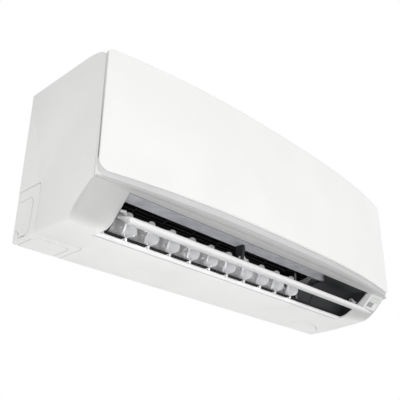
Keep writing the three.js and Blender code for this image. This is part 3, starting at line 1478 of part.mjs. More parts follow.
addPiece('mounting_plate', mountingPlate(), 'steel');
addPiece('chassis', chassis(), 'grey');
addPiece('casing', casing(), 'white');
addPiece('corner_cover', cornerCover(), 'white');
addPiece('knockout_plate', knockPlate(), 'white');
addPiece('outlet_lip', outletLip(), 'grey');
addPiece('vane_base', vaneBase(), 'grey');
addPiece('duct_end', ductEnd(), 'grey');
addPiece('outlet_blank', outletBlank(), 'charcoal');
addPiece('drain_pan', drainPan(), 'silver');
addPiece('flap_bracket', flapBracket(), 'charcoal');
['coil_front_lower', 'coil_front_upper', 'coil_rear'].forEach((name, index) => {
  addPiece(name, coilSlab(index), 'fins');
});
addPiece('tube_plate_left', tubePlate(-1), 'steel');
addPiece('tube_plate_right', tubePlate(1), 'steel');
const [liquidDrop, gasDrop] = pipeDropShares.map((share) => share * BODY_HEIGHT);
addPiece('liquid_pipe', pipe(PIPE_LIQUID_RADIUS, pipeShares[0], liquidDrop, -BRACKET_X), 'copper');
addPiece('gas_pipe', pipe(PIPE_GAS_RADIUS, pipeShares[1], gasDrop, -BRACKET_X), 'copper');
addPiece('liquid_nut', flareNut(PIPE_LIQUID_RADIUS, liquidDrop, -BRACKET_X), 'brass');
addPiece('gas_nut', flareNut(PIPE_GAS_RADIUS, gasDrop, -BRACKET_X), 'brass');
addPiece('fan', fan(), 'black');
addPiece('fan_bearing', fanBearing(), 'black');
addPiece('fan_motor', fanMotor(), 'steel');
addPiece('motor_shaft', motorShaft(), 'steel');
addPiece('motor_clamp', motorClamp(), 'grey');
addPiece('control_box', controlBox(), 'grey');
addPiece('control_board', controlBoard(), 'board');
addPiece('terminal_block', terminalBlock(), 'white');
addPiece('control_cover', controlCover(), 'steel');
addPiece('display_bezel', displayBezel(), 'grey');
addPiece('display_window', windowBlock(0, true), 'window');
addPiece('receiver_window', windowBlock(0, false), 'receiver');
addPiece('run_button', runButton(), 'white');
addPiece('flap', flap(), 'white');
addPiece('flap_motor', flapMotor(), 'white');
const vaneBody = vaneSolid();
for (let i = 0; i < VANE_COUNT; i += 1) {
  addPiece(`vane_${String(i + 1).padStart(2, '0')}`, vaneBody, 'grey', vaneMatrix(i));
}
addPiece('vane_link', vaneLink(), 'grey');
addPiece('vane_motor', vaneMotor(), 'white');
addPiece('filter_left', filter(-1), 'grey');
addPiece('filter_right', filter(1), 'grey');
addPiece('front_panel', frontPanel(), 'gloss');

export default model;
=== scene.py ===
# Indoor unit of a split air conditioner: bowed gloss cover, open outlet with its flap, vanes and fan.
# Places are given as along the unit, depth in front of the wall and height above the underside, in mm.
import math

import bmesh
import bpy
from mathutils import Matrix, Vector
from mathutils.geometry import intersect_point_line


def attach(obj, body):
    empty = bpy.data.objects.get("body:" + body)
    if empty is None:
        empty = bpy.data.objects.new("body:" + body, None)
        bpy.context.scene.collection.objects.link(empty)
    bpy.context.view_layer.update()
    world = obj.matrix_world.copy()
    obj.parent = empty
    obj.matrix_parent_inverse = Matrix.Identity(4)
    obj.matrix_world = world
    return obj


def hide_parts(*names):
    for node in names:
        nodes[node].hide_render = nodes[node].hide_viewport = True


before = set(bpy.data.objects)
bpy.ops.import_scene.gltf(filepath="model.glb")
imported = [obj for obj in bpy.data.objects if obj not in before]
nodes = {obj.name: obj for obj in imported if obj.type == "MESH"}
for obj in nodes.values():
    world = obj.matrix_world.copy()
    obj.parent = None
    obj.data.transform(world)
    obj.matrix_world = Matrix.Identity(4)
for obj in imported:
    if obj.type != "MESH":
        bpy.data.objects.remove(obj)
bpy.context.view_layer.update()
scene = bpy.context.scene

HALF_WIDTH = 400
HEIGHT = 272
# Depth of the casing and of the cover at their ends, and how far each bulges at the middle.
END_DEPTH = 200
COVER_END_DEPTH = 206
CASING_BOW = 28
COVER_BOW = 35
# The casing's wall, the rounding of its ends and the width of its knock-out grooves.
WALL = 2.8
END_ROUND = 18
GROOVE = 1.7
# How far a cutting tool stands out past what it cuts.
BEYOND = 4
# The slope under the cover, from the underside up to the strip, as depth and height.
SLOPE_FOOT = 141
SLOPE_TOP = (193.5, 49)
SLOPE_RUN = SLOPE_TOP[0] - SLOPE_FOOT
SLOPE_RISE = SLOPE_TOP[1]
STRIP_FOOT = 50
# The lip under the outlet, in depth and at its right end.
LIP_BACK = 120.3
LIP_FRONT = 134
LIP_RIGHT = 311
# Height of the cover's lower edge and of its frame's back edge.
COVER_FOOT = 58
FRAME_FOOT = 51.5
# Depth and height of the flap's pivot and of the middle of its leading bar, and its slope.
FLAP_PIVOT = (162.5, 33)
FLAP_LEAD = (190.5, 7.7)
FLAP_SLOPE = math.radians(25.5)
# Depth and height of the vanes' feet, the first one's place along the unit, their lean and their turn.
VANE_FOOT = (127, 12.5)
VANE_LEFT = -289
VANE_TILT = math.radians(26.6)
VANE_TURN = math.radians(32)
# The right end of the vanes' base strip and of the floor behind them.
GUIDE_RIGHT = 149.9


# Places and shapes

def in_metres(x, depth, height):
    """A distance in mm along the unit, forward and upward, along the frame's axes in metres."""
    return Vector((x, -depth, height)) / 1000


def place(x, depth, height):
    """A place in mm from the middle, the wall and the underside, in the frame in metres."""
    return in_metres(x, depth, height - HEIGHT / 2)


def height_at(at):
    """Height above the underside of a place in mm from the middle."""
    return at.z + HEIGHT / 2


def bow(x, amount):
    """How far the front bulges at a place along the unit, full at the middle and nothing at the ends."""
    return amount * (1 - (min(abs(x), HALF_WIDTH) / HALF_WIDTH) ** 2.6)


def smooth_line(points, steps=4):
    """A soft curve through the points."""
    line = []
    for i in range(len(points) - 1):
        before = points[max(i - 1, 0)]
        start, end = points[i], points[i + 1]
        after = points[min(i + 2, len(points) - 1)]
        for k in range(steps):
            t = k / steps
            line.append(tuple(
                0.5 * (2 * q + (r - p) * t + (2 * p - 5 * q + 4 * r - s) * t * t
                       + (3 * q - p - 3 * r + s) * t ** 3)
                for p, q, r, s in zip(before, start, end, after)))
    return line + [tuple(points[-1])]


def arc(centre, radii, start, end, steps):
    """Points of a round corner, angles in degrees."""
    angles = [math.radians(start + (end - start) * i / steps) for i in range(steps + 1)]
    return [(centre[0] + radii[0] * math.cos(angle), centre[1] + radii[1] * math.sin(angle))
            for angle in angles]


def leaned(origin, lean, along, up):
    """Depth and height of a place along and above a line that leans down to the front."""
    return (origin[0] + along * math.cos(lean) + up * math.sin(lean),
            origin[1] - along * math.sin(lean) + up * math.cos(lean))


def deselect():
    """Deselects everything, so that an operator acts on the new piece alone."""
    bpy.ops.object.select_all(action="DESELECT")


def only(piece):
    """Selects the piece alone and makes it active."""
    deselect()
    piece.select_set(True)
    bpy.context.view_layer.objects.active = piece


def pick(test, kind="verts"):
    """Selects vertices, edges or faces of the piece in edit mode by their middle."""
    mesh = bmesh.from_edit_mesh(bpy.context.edit_object.data)
    for part in [*mesh.faces, *mesh.edges, *mesh.verts]:
        part.select = False
    chosen = []
    for part in getattr(mesh, kind):
        corners = [part] if kind == "verts" else list(part.verts)
        middle = sum((corner.co for corner in corners), Vector()) / len(corners)
        if test(part, middle * 1000):
            chosen.append(part)
    for part in chosen:
        part.select_set(True)
    bmesh.update_edit_mesh(bpy.context.edit_object.data)
    return len(chosen)


def mode(kind):
    """Chooses between vertices, edges and faces."""
    bpy.ops.mesh.select_mode(type=kind)


def edit(piece):
    """Opens the piece in edit mode with all of it selected."""
    only(piece)
    bpy.ops.object.mode_set(mode="EDIT")
    bpy.ops.mesh.select_all(action="SELECT")


def leave():
    """Goes back to object mode."""
    bpy.ops.object.mode_set(mode="OBJECT")


def settle(piece):
    """Puts the piece's place, turn and size into its mesh."""
    only(piece)
    bpy.ops.object.transform_apply(location=True, rotation=True, scale=True)


def shift(*distance):
    """Moves what is selected."""
    bpy.ops.transform.translate(value=in_metres(*distance))


def pull(*distance):
    """Extrudes what is selected."""
    bpy.ops.mesh.extrude_region_move(TRANSFORM_OT_translate={"value": in_metres(*distance)})


def draw(name, points):
    """An outline drawn point by point, closed to one face. The points are places in metres."""
    points = [q for i, q in enumerate(points) if (q - points[i - 1]).length > 2e-5]
    deselect()
    bpy.ops.mesh.primitive_plane_add(size=0.001, location=points[0])
    piece = bpy.context.active_object
    piece.name = name
    piece.data.name = name
    settle(piece)
    edit(piece)
    mode("VERT")
    bpy.ops.mesh.merge(type="CENTER")
    for start, end in zip(points, points[1:]):
        bpy.ops.mesh.extrude_region_move(TRANSFORM_OT_translate={"value": end - start})
    bpy.ops.mesh.select_all(action="SELECT")
    bpy.ops.mesh.edge_face_add()
    return piece


def outward():
    """Turns all faces outward."""
    bpy.ops.mesh.select_all(action="SELECT")
    bpy.ops.mesh.normals_make_consistent(inside=False)


def prism(name, places, *thickness):
    """A drawn outline with a thickness."""
    piece = draw(name, places)
    pull(*thickness)
    outward()
    leave()
    return piece


def prism_x(name, outline, left, right):
    """An outline of (depth, height) points run along the unit."""
    return prism(name, [place(left, depth, height) for depth, height in outline], right - left, 0, 0)


def prism_up(name, outline, foot, top):
    """An outline of (x, depth) points run upward."""
    return prism(name, [place(x, depth, foot) for x, depth in outline], 0, 0, top - foot)


def prism_front(name, outline, back, front):
    """An outline of (x, height) points run forward."""
    return prism(name, [place(x, back, height) for x, height in outline], 0, front - back, 0)


def block(name, left, right, back, front, foot, top):
    """A box between places along the unit, in depth and in height."""
    deselect()
    bpy.ops.mesh.primitive_cube_add(size=1)
    piece = bpy.context.active_object
    piece.name = name
    piece.data.name = name
    piece.scale = Vector((right - left, front - back, top - foot)) / 1000
    piece.location = place((left + right) / 2, (back + front) / 2, (foot + top) / 2)
    settle(piece)
    return piece


def rod(name, start, end, radius, sides=24):
    """A round bar between two places in metres."""
    deselect()
    along = end - start
    bpy.ops.mesh.primitive_cylinder_add(vertices=sides, radius=radius / 1000, depth=along.length)
    piece = bpy.context.active_object
    piece.name = name
    piece.rotation_euler = along.to_track_quat("Z", "Y").to_euler()
    piece.location = (start + end) / 2
    settle(piece)
    return piece


def slice_x(stations):
    """Cuts the mesh in edit mode across at places along the unit."""
    for x in stations:
        bpy.ops.mesh.select_all(action="SELECT")
        bpy.ops.mesh.bisect(plane_co=(x / 1000, 0, 0), plane_no=(1, 0, 0))


def along_unit(test=lambda at: True):
    """Selects the tested vertices at one place along the unit after the other, and gives that place."""
    mesh = bmesh.from_edit_mesh(bpy.context.edit_object.data)
    for x in sorted({round(v.co.x, 6) for v in mesh.verts}):
        if pick(lambda part, at, x=x: abs(at.x - x * 1000) < 0.002 and test(at)):
            yield x * 1000


def shift_by_place(test, distance):
    """Moves the tested vertices forward by a distance that changes along the unit."""
    for x in along_unit(test):
        shift(0, distance(x), 0)


def apply_all(piece):
    """Applies the piece's modifiers."""
    only(piece)
    for modifier in list(piece.modifiers):
        bpy.ops.object.modifier_apply(modifier=modifier.name)


def carve(piece, tools, operation="DIFFERENCE"):
    """Cuts the tools out of the piece, or keeps what lies inside them, and uses the tools up."""
    tool = joined(tools[0].name, tools) if len(tools) > 1 else tools[0]
    modifier = piece.modifiers.new("carve", "BOOLEAN")
    modifier.solver = "EXACT"
    modifier.operation = operation
    modifier.object = tool
    apply_all(piece)
    bpy.data.objects.remove(tool)
    return piece


def joined(name, pieces):
    """The pieces as one mesh."""
    only(pieces[0])
    for piece in pieces:
        piece.select_set(True)
    bpy.ops.object.join()
    result = bpy.context.active_object
    result.name = name
    result.data.name = name
    return result


def copy_of(piece, name):
    """A copy with a mesh of its own."""
    twin = piece.copy()
    twin.data = piece.data.copy()
    twin.name = name
    twin.data.name = name
    scene.collection.objects.link(twin)
    return twin


def soften(piece, width, segments=2, angle=35):
    """Rounds the edges that are sharper than the angle."""
    modifier = piece.modifiers.new("edges", "BEVEL")
    modifier.width = width / 1000
    modifier.segments = segments
    modifier.limit_method = "ANGLE"
    modifier.angle_limit = math.radians(angle)
    apply_all(piece)
    return piece


def finish(piece, body, material, replaced=(), angle=32):
    """Smooth shading, material, the body that the piece rides on and the nodes that it stands for."""
    only(piece)
    bpy.ops.object.shade_smooth_by_angle(angle=math.radians(angle))
    piece.data.materials.clear()
    piece.data.materials.append(material)
    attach(piece, body)
    if replaced:
        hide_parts(*replaced)


# Finishes

def srgb(code):
    """An sRGB hex colour as linear red, green, blue and 1."""
    values = [int(code[i:i + 2], 16) / 255 for i in (1, 3, 5)]
    return tuple(v / 12.92 if v <= 0.04045 else ((v + 0.055) / 1.055) ** 2.4 for v in values) + (1,)


def add(tree, kind, settings=None, links=None):
    """A node with its settings, by attribute, socket or colour stops, and its incoming links."""
    node = tree.nodes.new(kind)
    for key, value in (settings or {}).items():
        if key == "stops":
            for element, (position, code) in zip(node.color_ramp.elements, value):
                element.position = position
                element.color = srgb(code)
        elif isinstance(key, str) and hasattr(node, key):
            setattr(node, key, value)
        else:
            node.inputs[key].default_value = value
    for key, source in (links or {}).items():
        tree.links.new(source, node.inputs[key])
    return node


def start_material(name, settings):
    """A material with its shader alone, and the place on the object that its patterns read."""
    material = bpy.data.materials.new(name)
    material.use_nodes = True
    tree = material.node_tree
    tree.nodes.clear()
    shader = add(tree, "ShaderNodeBsdfPrincipled", settings)
    add(tree, "ShaderNodeOutputMaterial", None, {"Surface": shader.outputs[0]})
    return material, tree, shader, add(tree, "ShaderNodeTexCoord").outputs["Object"]


def dress(tree, shader, pattern, stops, relief=None, gloss=None):
    """Colours a shader by a pattern. Relief is a height, strength and depth, gloss a roughness range."""
    tone = add(tree, "ShaderNodeValToRGB", {"stops": stops}, {0: pattern})
    tree.links.new(tone.outputs[0], shader.inputs["Base Color"])
    if gloss:
        rough = add(tree, "ShaderNodeMapRange",
                    {"From Min": 0.3, "From Max": 0.7, "To Min": gloss[0], "To Max": gloss[1]},
                    {"Value": pattern})
        tree.links.new(rough.outputs[0], shader.inputs["Roughness"])
    if relief:
        height, strength, depth = relief
        bump = add(tree, "ShaderNodeBump", {"Strength": strength, "Distance": depth}, {"Height": height})
        tree.links.new(bump.outputs[0], shader.inputs["Normal"])


def moulded(name, light, dark, roughness, grain_mm=0.6, bump=0.06, cloud_mm=90, spread=0.08, coat=0):
    """Moulded thermoplastic: a slow drift of tone, a fine spark-eroded grain and slightly uneven gloss."""
    settings = {"Roughness": roughness, "IOR": 1.5, "Specular IOR Level": 0.5}
    if coat:
        settings.update({"Coat Weight": coat, "Coat Roughness": 0.06})
    material, tree, shader, where = start_material(name, settings)
    cloud = add(tree, "ShaderNodeTexNoise", {"Scale": 1000 / cloud_mm, "Detail": 3.0, "Roughness": 0.5},
                {"Vector": where}).outputs[0]
    grain = add(tree, "ShaderNodeTexNoise", {"Scale": 1000 / grain_mm, "Detail": 2.0}, {"Vector": where})
    dress(tree, shader, cloud, ((0.3, dark), (0.7, light)), (grain.outputs[0], bump, 0.0002),
          (roughness - spread, roughness + spread))
    return material


def metal(name, light, dark, roughness, streak, bump=0.04):
    """Bare metal: tone and gloss drift along the rolling or drawing direction."""
    material, tree, shader, where = start_material(name, {"Metallic": 1.0, "Roughness": roughness})
    turned = add(tree, "ShaderNodeMapping", {"Scale": streak}, {"Vector": where})
    cloud = add(tree, "ShaderNodeTexNoise", {"Scale": 1.0, "Detail": 4.0},
                {"Vector": turned.outputs[0]}).outputs[0]
    dress(tree, shader, cloud, ((0.3, dark), (0.7, light)), (cloud, bump, 0.0002),
          (roughness - 0.08, roughness + 0.08))
    return material


def tint(material, code, share_of):
    """Multiplies a material's colour by a darker tint as painted shade, as far as share_of gives it at each
    place.
    """
    tree = material.node_tree
    shader = next(node for node in tree.nodes if node.type == "BSDF_PRINCIPLED")
    tone = shader.inputs["Base Color"].links[0].from_socket
    where = add(tree, "ShaderNodeTexCoord").outputs["Object"]
    mix = add(tree, "ShaderNodeMix", {"data_type": "RGBA", "blend_type": "MULTIPLY", 7: srgb(code)},
              {0: share_of(tree, where), 6: tone})
    tree.links.new(mix.outputs[2], shader.inputs["Base Color"])


def slope_painted_shade(tree, where):
    """Where shade is painted: one on the slope and the strip under the cover, and nothing on the sides,
    underside and front.
    """
    axes = add(tree, "ShaderNodeSeparateXYZ", None, {0: where})
    side = add(tree, "ShaderNodeMath", {"operation": "ABSOLUTE"}, {0: axes.outputs[0]})
    share = None
    for value, start, end in ((axes.outputs[1], -0.137, -0.158),
                              (axes.outputs[2], place(0, 0, 54).z, place(0, 0, 51).z),
                              (side.outputs[0], 0.4, 0.3985)):
        step = add(tree, "ShaderNodeMapRange",
                   {"From Min": start, "From Max": end, "interpolation_type": "SMOOTHSTEP"},
                   {"Value": value}).outputs[0]
        if share is None:
            share = step
        else:
            share = add(tree, "ShaderNodeMath", {"operation": "MULTIPLY"}, {0: share, 1: step}).outputs[0]
    return share


def flap_painted_shade(tree, where):
    """Where shade is painted: one on the flap's inner half, with a soft line to nothing on the leading
    half.
    """
    middle = add(tree, "ShaderNodeVectorMath", {"operation": "SUBTRACT", 1: place(0, *FLAP_LEAD)},
                 {0: where})
    across = add(tree, "ShaderNodeVectorMath", {"operation": "DOT_PRODUCT", 1: (0, 0.6, -0.8)},
                 {0: middle.outputs[0]})
    step = add(tree, "ShaderNodeMapRange",
               {"From Min": -0.0035, "From Max": 0.0058, "interpolation_type": "SMOOTHSTEP"},
               {"Value": across.outputs[1]})
    return step.outputs[0]


# Satin ABS of the casing: warm-neutral pale grey, broad soft highlights, a grain too fine to see alone. The
# slope and the strip under the cover carry painted shade: their colour is multiplied a shade greyer.
casing_abs = moulded("satin_abs_casing", "#E9E9E8", "#E3E3E2", 0.42)
tint(casing_abs, "#DCDCDC", slope_painted_shade)
# Gloss ABS of the front cover: the whitest piece, with a clear reflection of the room on a calm surface.
cover_abs = moulded("gloss_abs_cover", "#F6F6F5", "#F3F3F2", 0.16, grain_mm=2.5, bump=0.01, spread=0.03,
                    coat=0.3)
# Matt ABS of the cover's frame: a shade greyer than the cover, as painted shade on the cover's edge, so its
# edge reads as a band.
frame_abs = moulded("matt_abs_cover_frame", "#D9D9D9", "#D2D2D2", 0.5)
# Satin ABS of the flap: bright on the rolled leading edge, smooth and soft. Its inner half carries painted
# shade: its colour is multiplied greyer, in place of the shade on the bar's lower side.
flap_abs = moulded("satin_abs_flap", "#F0F0F0", "#EBEBEB", 0.3, bump=0.02)
tint(flap_abs, "#C9C9CA", flap_painted_shade)
# Polypropylene of the vanes: cool light grey, a little waxy and matt.
vane_pp = moulded("waxy_polypropylene_vane", "#E4E4E6", "#D8D8DB", 0.42, spread=0.1)
# Satin ABS of the lip and the foot clips: the brightest edge of the opening.
lip_abs = moulded("satin_abs_lip", "#F3F3F3", "#EEEEEE", 0.35)
# Grey ABS of the cover's neck, the strip on the lip and the link bar: a quiet grey. On the neck and the
# lip's strip it is painted shade, which reads as a gap.
grey_abs_and_painted_shade = moulded("matt_grey_abs_and_painted_shade", "#C9C9CA", "#C0C0C2", 0.55)
# Dark grey ABS of the duct's curved end: between the silver ceiling and the charcoal wall in tone.
end_abs = moulded("matt_dark_grey_abs", "#8E8E90", "#828285", 0.55)
# Light grey ABS of the display's bezel: satin, a shade cooler than the casing round it.
trim_abs = moulded("satin_light_grey_abs", "#EEEEEF", "#E9E9EA", 0.4)
# Silver-pigmented ABS of the outlet's ceiling: metallic flecks that mottle the grey.
silver_abs = moulded("silver_pigment_abs", "#F0F1F5", "#CDCED6", 0.36, grain_mm=3.0, bump=0.12, cloud_mm=22)
# Charcoal polypropylene of the closed end and the flap's middle bearing: near black and matt.
charcoal_pp = moulded("matt_charcoal_polypropylene", "#3A3B3D", "#2E2F31", 0.6)
# Black glass-filled styrene of the fan: dull black that shows its ribs by their edges only.
fan_plastic = moulded("dull_black_fan_styrene", "#1B1B1C", "#131314", 0.5)
# High-impact styrene of the chassis: pale grey and matt, it shows as the scroll behind the fan.
chassis_ps = moulded("matt_styrene_chassis", "#D8D8D9", "#CDCDCF", 0.5)
# Closed-cell foam of the seals: black and quite without shine. The same black on the vanes' base strip, the
# lip's slit and the outlet's left edge is painted shade.
foam_and_painted_shade = moulded("black_foam_and_painted_shade", "#1E1E1F", "#151516", 0.85, grain_mm=0.9, bump=0.3)
# Flame-proofed ABS of the control box: matt, with the faint yellow that the additive gives.
box_abs = moulded("flame_proof_box_abs", "#DDDDD8", "#D2D2CC", 0.5)
# White polypropylene of the terminal block and the run button: plain, soft and matt.
white_pp = moulded("white_polypropylene", "#E4E4E2", "#DADAD8", 0.5)
# Rubber of the fan's bearing bush: dark and dull, with hardly a highlight.
rubber = moulded("matt_rubber_bush", "#2B2B2B", "#1F1F1F", 0.75)
# Polycarbonate of the display window: a smooth glossy plate with a pale green tint.
window_pc = moulded("pale_tinted_polycarbonate", "#E2E8DF", "#D9E0D5", 0.15, bump=0.01, spread=0.04)
# Polycarbonate of the receiver window: a glossy middle grey square.
receiver_pc = moulded("grey_tinted_polycarbonate", "#A9A9AA", "#9D9D9F", 0.18, bump=0.01, spread=0.04)
# Galvanised sheet of the wall plate and brackets: cool grey, mottled by its zinc crystals, drawn at 11 mm.
zinc = metal("galvanised_steel_sheet", "#C9CCCE", "#A3A8AB", 0.42, (90, 90, 90), 0.1)
# Ground steel of the fan's shaft: bright, with fine rings round it.
shaft_steel = metal("ground_shaft_steel", "#D0D0D0", "#A8A8A8", 0.25, (900, 60, 60))
# Pressed steel of the motor cans: satin grey with faint drawing marks along the axis.
motor_steel = metal("pressed_motor_steel", "#B9BBBD", "#9A9C9F", 0.38, (60, 300, 300))
# Drawn copper of the pipes: warm red-brown, smooth and fairly bright.
copper = metal("drawn_copper_tube", "#C98358", "#B06A42", 0.3, (300, 300, 300))
# Turned brass of the flare nuts: yellow and bright, with fine turning marks.
brass = metal("turned_brass_nut", "#D8B45E", "#BE9743", 0.28, (500, 500, 500))

# A wave pattern of this scale repeats once in a metre.
WAVE = 0.314159


def fin_stack():
    """Aluminium fins pressed on the tubes: fine upright blades with painted shade in the gaps between them,
    drawn at 2.4 mm to show.
    """
    material, tree, shader, where = start_material("aluminium_fin_stack",
                                                   {"Metallic": 0.9, "Roughness": 0.45})
    bands = add(tree, "ShaderNodeTexWave", {"bands_direction": "X", "Scale": WAVE / 0.0024},
                {"Vector": where}).outputs[1]
    dress(tree, shader, bands, ((0.25, "#4C4F52"), (0.6, "#CED2D4")), (bands, 0.6, 0.0008))
    return material


def net_plastic():
    """Woven polypropylene net: grey threads with painted shade in the holes between them. Its 1 mm weave is
    drawn at 3 mm to show.
    """
    material, tree, shader, where = start_material("woven_filter_net", {"Roughness": 0.6})
    across, along = [add(tree, "ShaderNodeTexWave", {"bands_direction": way, "Scale": WAVE / 0.003},
                         {"Vector": where}).outputs[1] for way in ("X", "Z")]
    threads = add(tree, "ShaderNodeMath", {"operation": "MAXIMUM"}, {0: across, 1: along}).outputs[0]
    dress(tree, shader, threads, ((0.45, "#5A6066"), (0.7, "#B8C0C4")), (threads, 0.5, 0.0005))
    return material


def circuit_laminate():
    """Glass-epoxy laminate: green lacquer with paler copper runs below it."""
    material, tree, shader, where = start_material("lacquered_circuit_laminate", {"Roughness": 0.35})
    cells = add(tree, "ShaderNodeTexVoronoi", {"feature": "DISTANCE_TO_EDGE", "Scale": 140.0},
                {"Vector": where})
    dress(tree, shader, cells.outputs[0], ((0.04, "#5E9A66"), (0.09, "#1F5B34")))
    return material


fins = fin_stack()
net = net_plastic()
laminate = circuit_laminate()


# Casing

slope_line = smooth_line([(SLOPE_FOOT, 0), (149.4, 4.4), (159.1, 13.7), (170.7, 26), (182.8, 38),
                          SLOPE_TOP], 3)
stations = list(range(-380, 381, 20))
# How far the casing's top rounds down to its front, in depth and in height.
TOP_ROUND = (50, 20)


def casing_outline(inset):
    """Depth and height of the casing's end, or of its hollow, which is open at the back."""
    back = -6 if inset else 0
    front = END_DEPTH - inset
    slope = [(depth - inset * 0.7, height + inset * 0.75 if height else inset)
             for depth, height in slope_line]
    top = arc((front - TOP_ROUND[0], HEIGHT - inset - TOP_ROUND[1]), TOP_ROUND, 0, 90, 8)
    return ([(back, inset), (60, inset), (LIP_BACK - inset, inset)] + slope
            + [(front, STRIP_FOOT + inset * 0.6), (front, 150)] + top + [(back, HEIGHT - inset)])


# How far the underside's right corner is raised, by depth, and where the rise starts: it is rounder there.
END_LIFT = [(-10, 0), (0, 0), (60, 1.6), (LIP_BACK, 7), (SLOPE_FOOT, 9), (149.4, 8), (159.1, 3.8),
            (168, 0.6), (175, 0)]
LIFT_START = 325
# The left edge's rounding grows to this much more than it has at its ends.
EDGE_SWELL = 1.5


def lift_at(depth):
    """The lift at a depth, between the two nearest of the list."""
    for (near, low), (far, high) in zip(END_LIFT, END_LIFT[1:]):
        if near <= depth < far:
            return low + (high - low) * (depth - near) / (far - near)
    return 0


def lift_right_foot():
    """Raises the underside and slope towards the right end."""
    mesh = bmesh.from_edit_mesh(bpy.context.edit_object.data)
    for vertex in mesh.verts:
        at = vertex.co * 1000
        if at.x > LIFT_START and height_at(at) < SLOPE_RISE - 1:
            share = (at.x - LIFT_START) / (HALF_WIDTH - LIFT_START)
            vertex.co.z += lift_at(-at.y) * share ** 1.4 / 1000
    bmesh.update_edit_mesh(bpy.context.edit_object.data)


def fuller_left_edge():
    """The left edge between side and slope is widest low down and ends fine at the cover's corner."""
    line = [Vector(point) for point in slope_line]
    mesh = bmesh.from_edit_mesh(bpy.context.edit_object.data)
    for vertex in mesh.verts:
        at = Vector((-vertex.co.y * 1000, height_at(vertex.co * 1000)))
        beside = HALF_WIDTH + vertex.co.x * 1000
        if beside > END_ROUND + 0.01 or at.x > SLOPE_TOP[0] + 0.05 or at.x < SLOPE_FOOT:
            continue
        near = min((intersect_point_line(at, start, end) for start, end in zip(line, line[1:])),
                   key=lambda hit: (hit[0] - at).length + 100 * (not -0.2 <= hit[1] <= 1.2))[0]
        if (near - at).length < END_ROUND + 1:
            share = 1 + EDGE_SWELL * math.sin(math.pi * min(1, max(near.y, 0) / SLOPE_RISE) ** 0.6)
            at = near + (at - near) * share
            vertex.co = place(beside * share - HALF_WIDTH, at.x, at.y)
    bmesh.update_edit_mesh(bpy.context.edit_object.data)


def casing_body(name, inset):
    """The casing's outer form, or its hollow: bowed front, rounded ends."""
    half = HALF_WIDTH - inset
    piece = prism_x(name, casing_outline(inset), -half, half)
    edit(piece)
    slice_x(stations)
    mode("EDGE")

    def at_end(part, at):
        return abs(abs(at.x) - half) < 0.01 and abs(part.verts[0].co.x - part.verts[1].co.x) < 1e-5

    def round_off(test, width, segments):
        pick(lambda part, at: at_end(part, at) and test(at), "edges")
        bpy.ops.mesh.bevel(offset=width / 1000, segments=segments, affect="EDGES", clamp_overlap=True)

    round_off(lambda at: height_at(at) < SLOPE_RISE - 0.4 + inset * 0.75 and -at.y > 1 - inset * 3,
              END_ROUND - inset, 6)
    round_off(lambda at: height_at(at) > SLOPE_RISE + 0.3 + inset * 0.7 and -at.y > 1, 1 if inset else 3, 3)
    mode("VERT")
    bulge_from = END_DEPTH - TOP_ROUND[0] - 0.1 - inset
    shift_by_place(lambda at: -at.y > bulge_from and height_at(at) > SLOPE_RISE + 0.5 + inset * 0.68,
                   lambda x: bow(x, CASING_BOW))
    lift_right_foot()
    if not inset:
        fuller_left_edge()
    leave()
    return piece


shell = carve(casing_body("casing_skin", 0), [casing_body("casing_hollow", WALL)])

# The outlet in plan: the left end flares towards the lip, the right end is swept back to it.
outlet_end = smooth_line([(335, 193.4), (333.6, 183), (330.5, 171), (324, 159), (316.5, 149),
                          (LIP_RIGHT, SLOPE_FOOT)], 3)
outlet_start = smooth_line([(-332.5, 193.4), (-331.5, 175), (-331.5, 156), (-334.5, 148), (-338, 142)], 3)
outlet_plan = outlet_start + [(-339, LIP_BACK), (LIP_RIGHT, LIP_BACK)] + outlet_end[::-1]

# The corner cover goes this far forward, up and along, with round corners.
CORNER_DEPTH = 63
CORNER_HEIGHT = 86
CORNER_RIGHT = -313
CORNER_ROUND = 6
corner_side = ([(-BEYOND, -BEYOND), (CORNER_DEPTH, -BEYOND), (CORNER_DEPTH, CORNER_HEIGHT - CORNER_ROUND)]
               + arc((CORNER_DEPTH - CORNER_ROUND, CORNER_HEIGHT - CORNER_ROUND),
                     (CORNER_ROUND, CORNER_ROUND), 0, 90, 5) + [(-BEYOND, CORNER_HEIGHT)])
corner_foot = ([(-HALF_WIDTH - BEYOND, -BEYOND), (-HALF_WIDTH - BEYOND, CORNER_DEPTH)]
               + arc((CORNER_RIGHT - CORNER_ROUND, CORNER_DEPTH - CORNER_ROUND),
                     (CORNER_ROUND, CORNER_ROUND), 90, 0, 5) + [(CORNER_RIGHT, -BEYOND)])
KNOCK_LEFT = 273
KNOCK_RIGHT = 375.8


def knock_plan(gap):
    """The pipe knock-out under the right end, or its plate with a gap round it."""
    line = smooth_line([(KNOCK_LEFT, 6), (272.8, 30), (273.4, 48), (277.5, 58), (286.3, 63.3), (299, 63),
                        (313.2, 60.4), (341.9, 51.5), (360, 41), (373.7, 29.8), (375.5, 24),
                        (KNOCK_RIGHT, 6)], 3)
    line = [(KNOCK_LEFT, -BEYOND)] + line + [(KNOCK_RIGHT, -BEYOND)]
    middle = (KNOCK_LEFT + KNOCK_RIGHT) / 2
    return [(x + (gap if x < middle else -gap), depth - gap) for x, depth in line]


def corner_tools(gap):
    """The corner cover's side and foot, with a gap to the casing round them."""
    tools = [prism_x("corner_tool", corner_side, -HALF_WIDTH - BEYOND, -388),
             prism_up("corner_foot_tool", corner_foot, -BEYOND, 12)]
    for tool in tools:
        edit(tool)
        shift(-gap, -gap, -gap)
        leave()
    return tools


def band(points, width):
    """A narrow closed outline round an open line of points."""
    left, right = [], []
    for i, point in enumerate(points):
        before, after = points[max(i - 1, 0)], points[min(i + 1, len(points) - 1)]
        run = Vector((after[0] - before[0], after[1] - before[1])).normalized()
        left.append((point[0] - run.y * width / 2, point[1] + run.x * width / 2))
        right.append((point[0] + run.y * width / 2, point[1] - run.x * width / 2))
    return left + right[::-1]


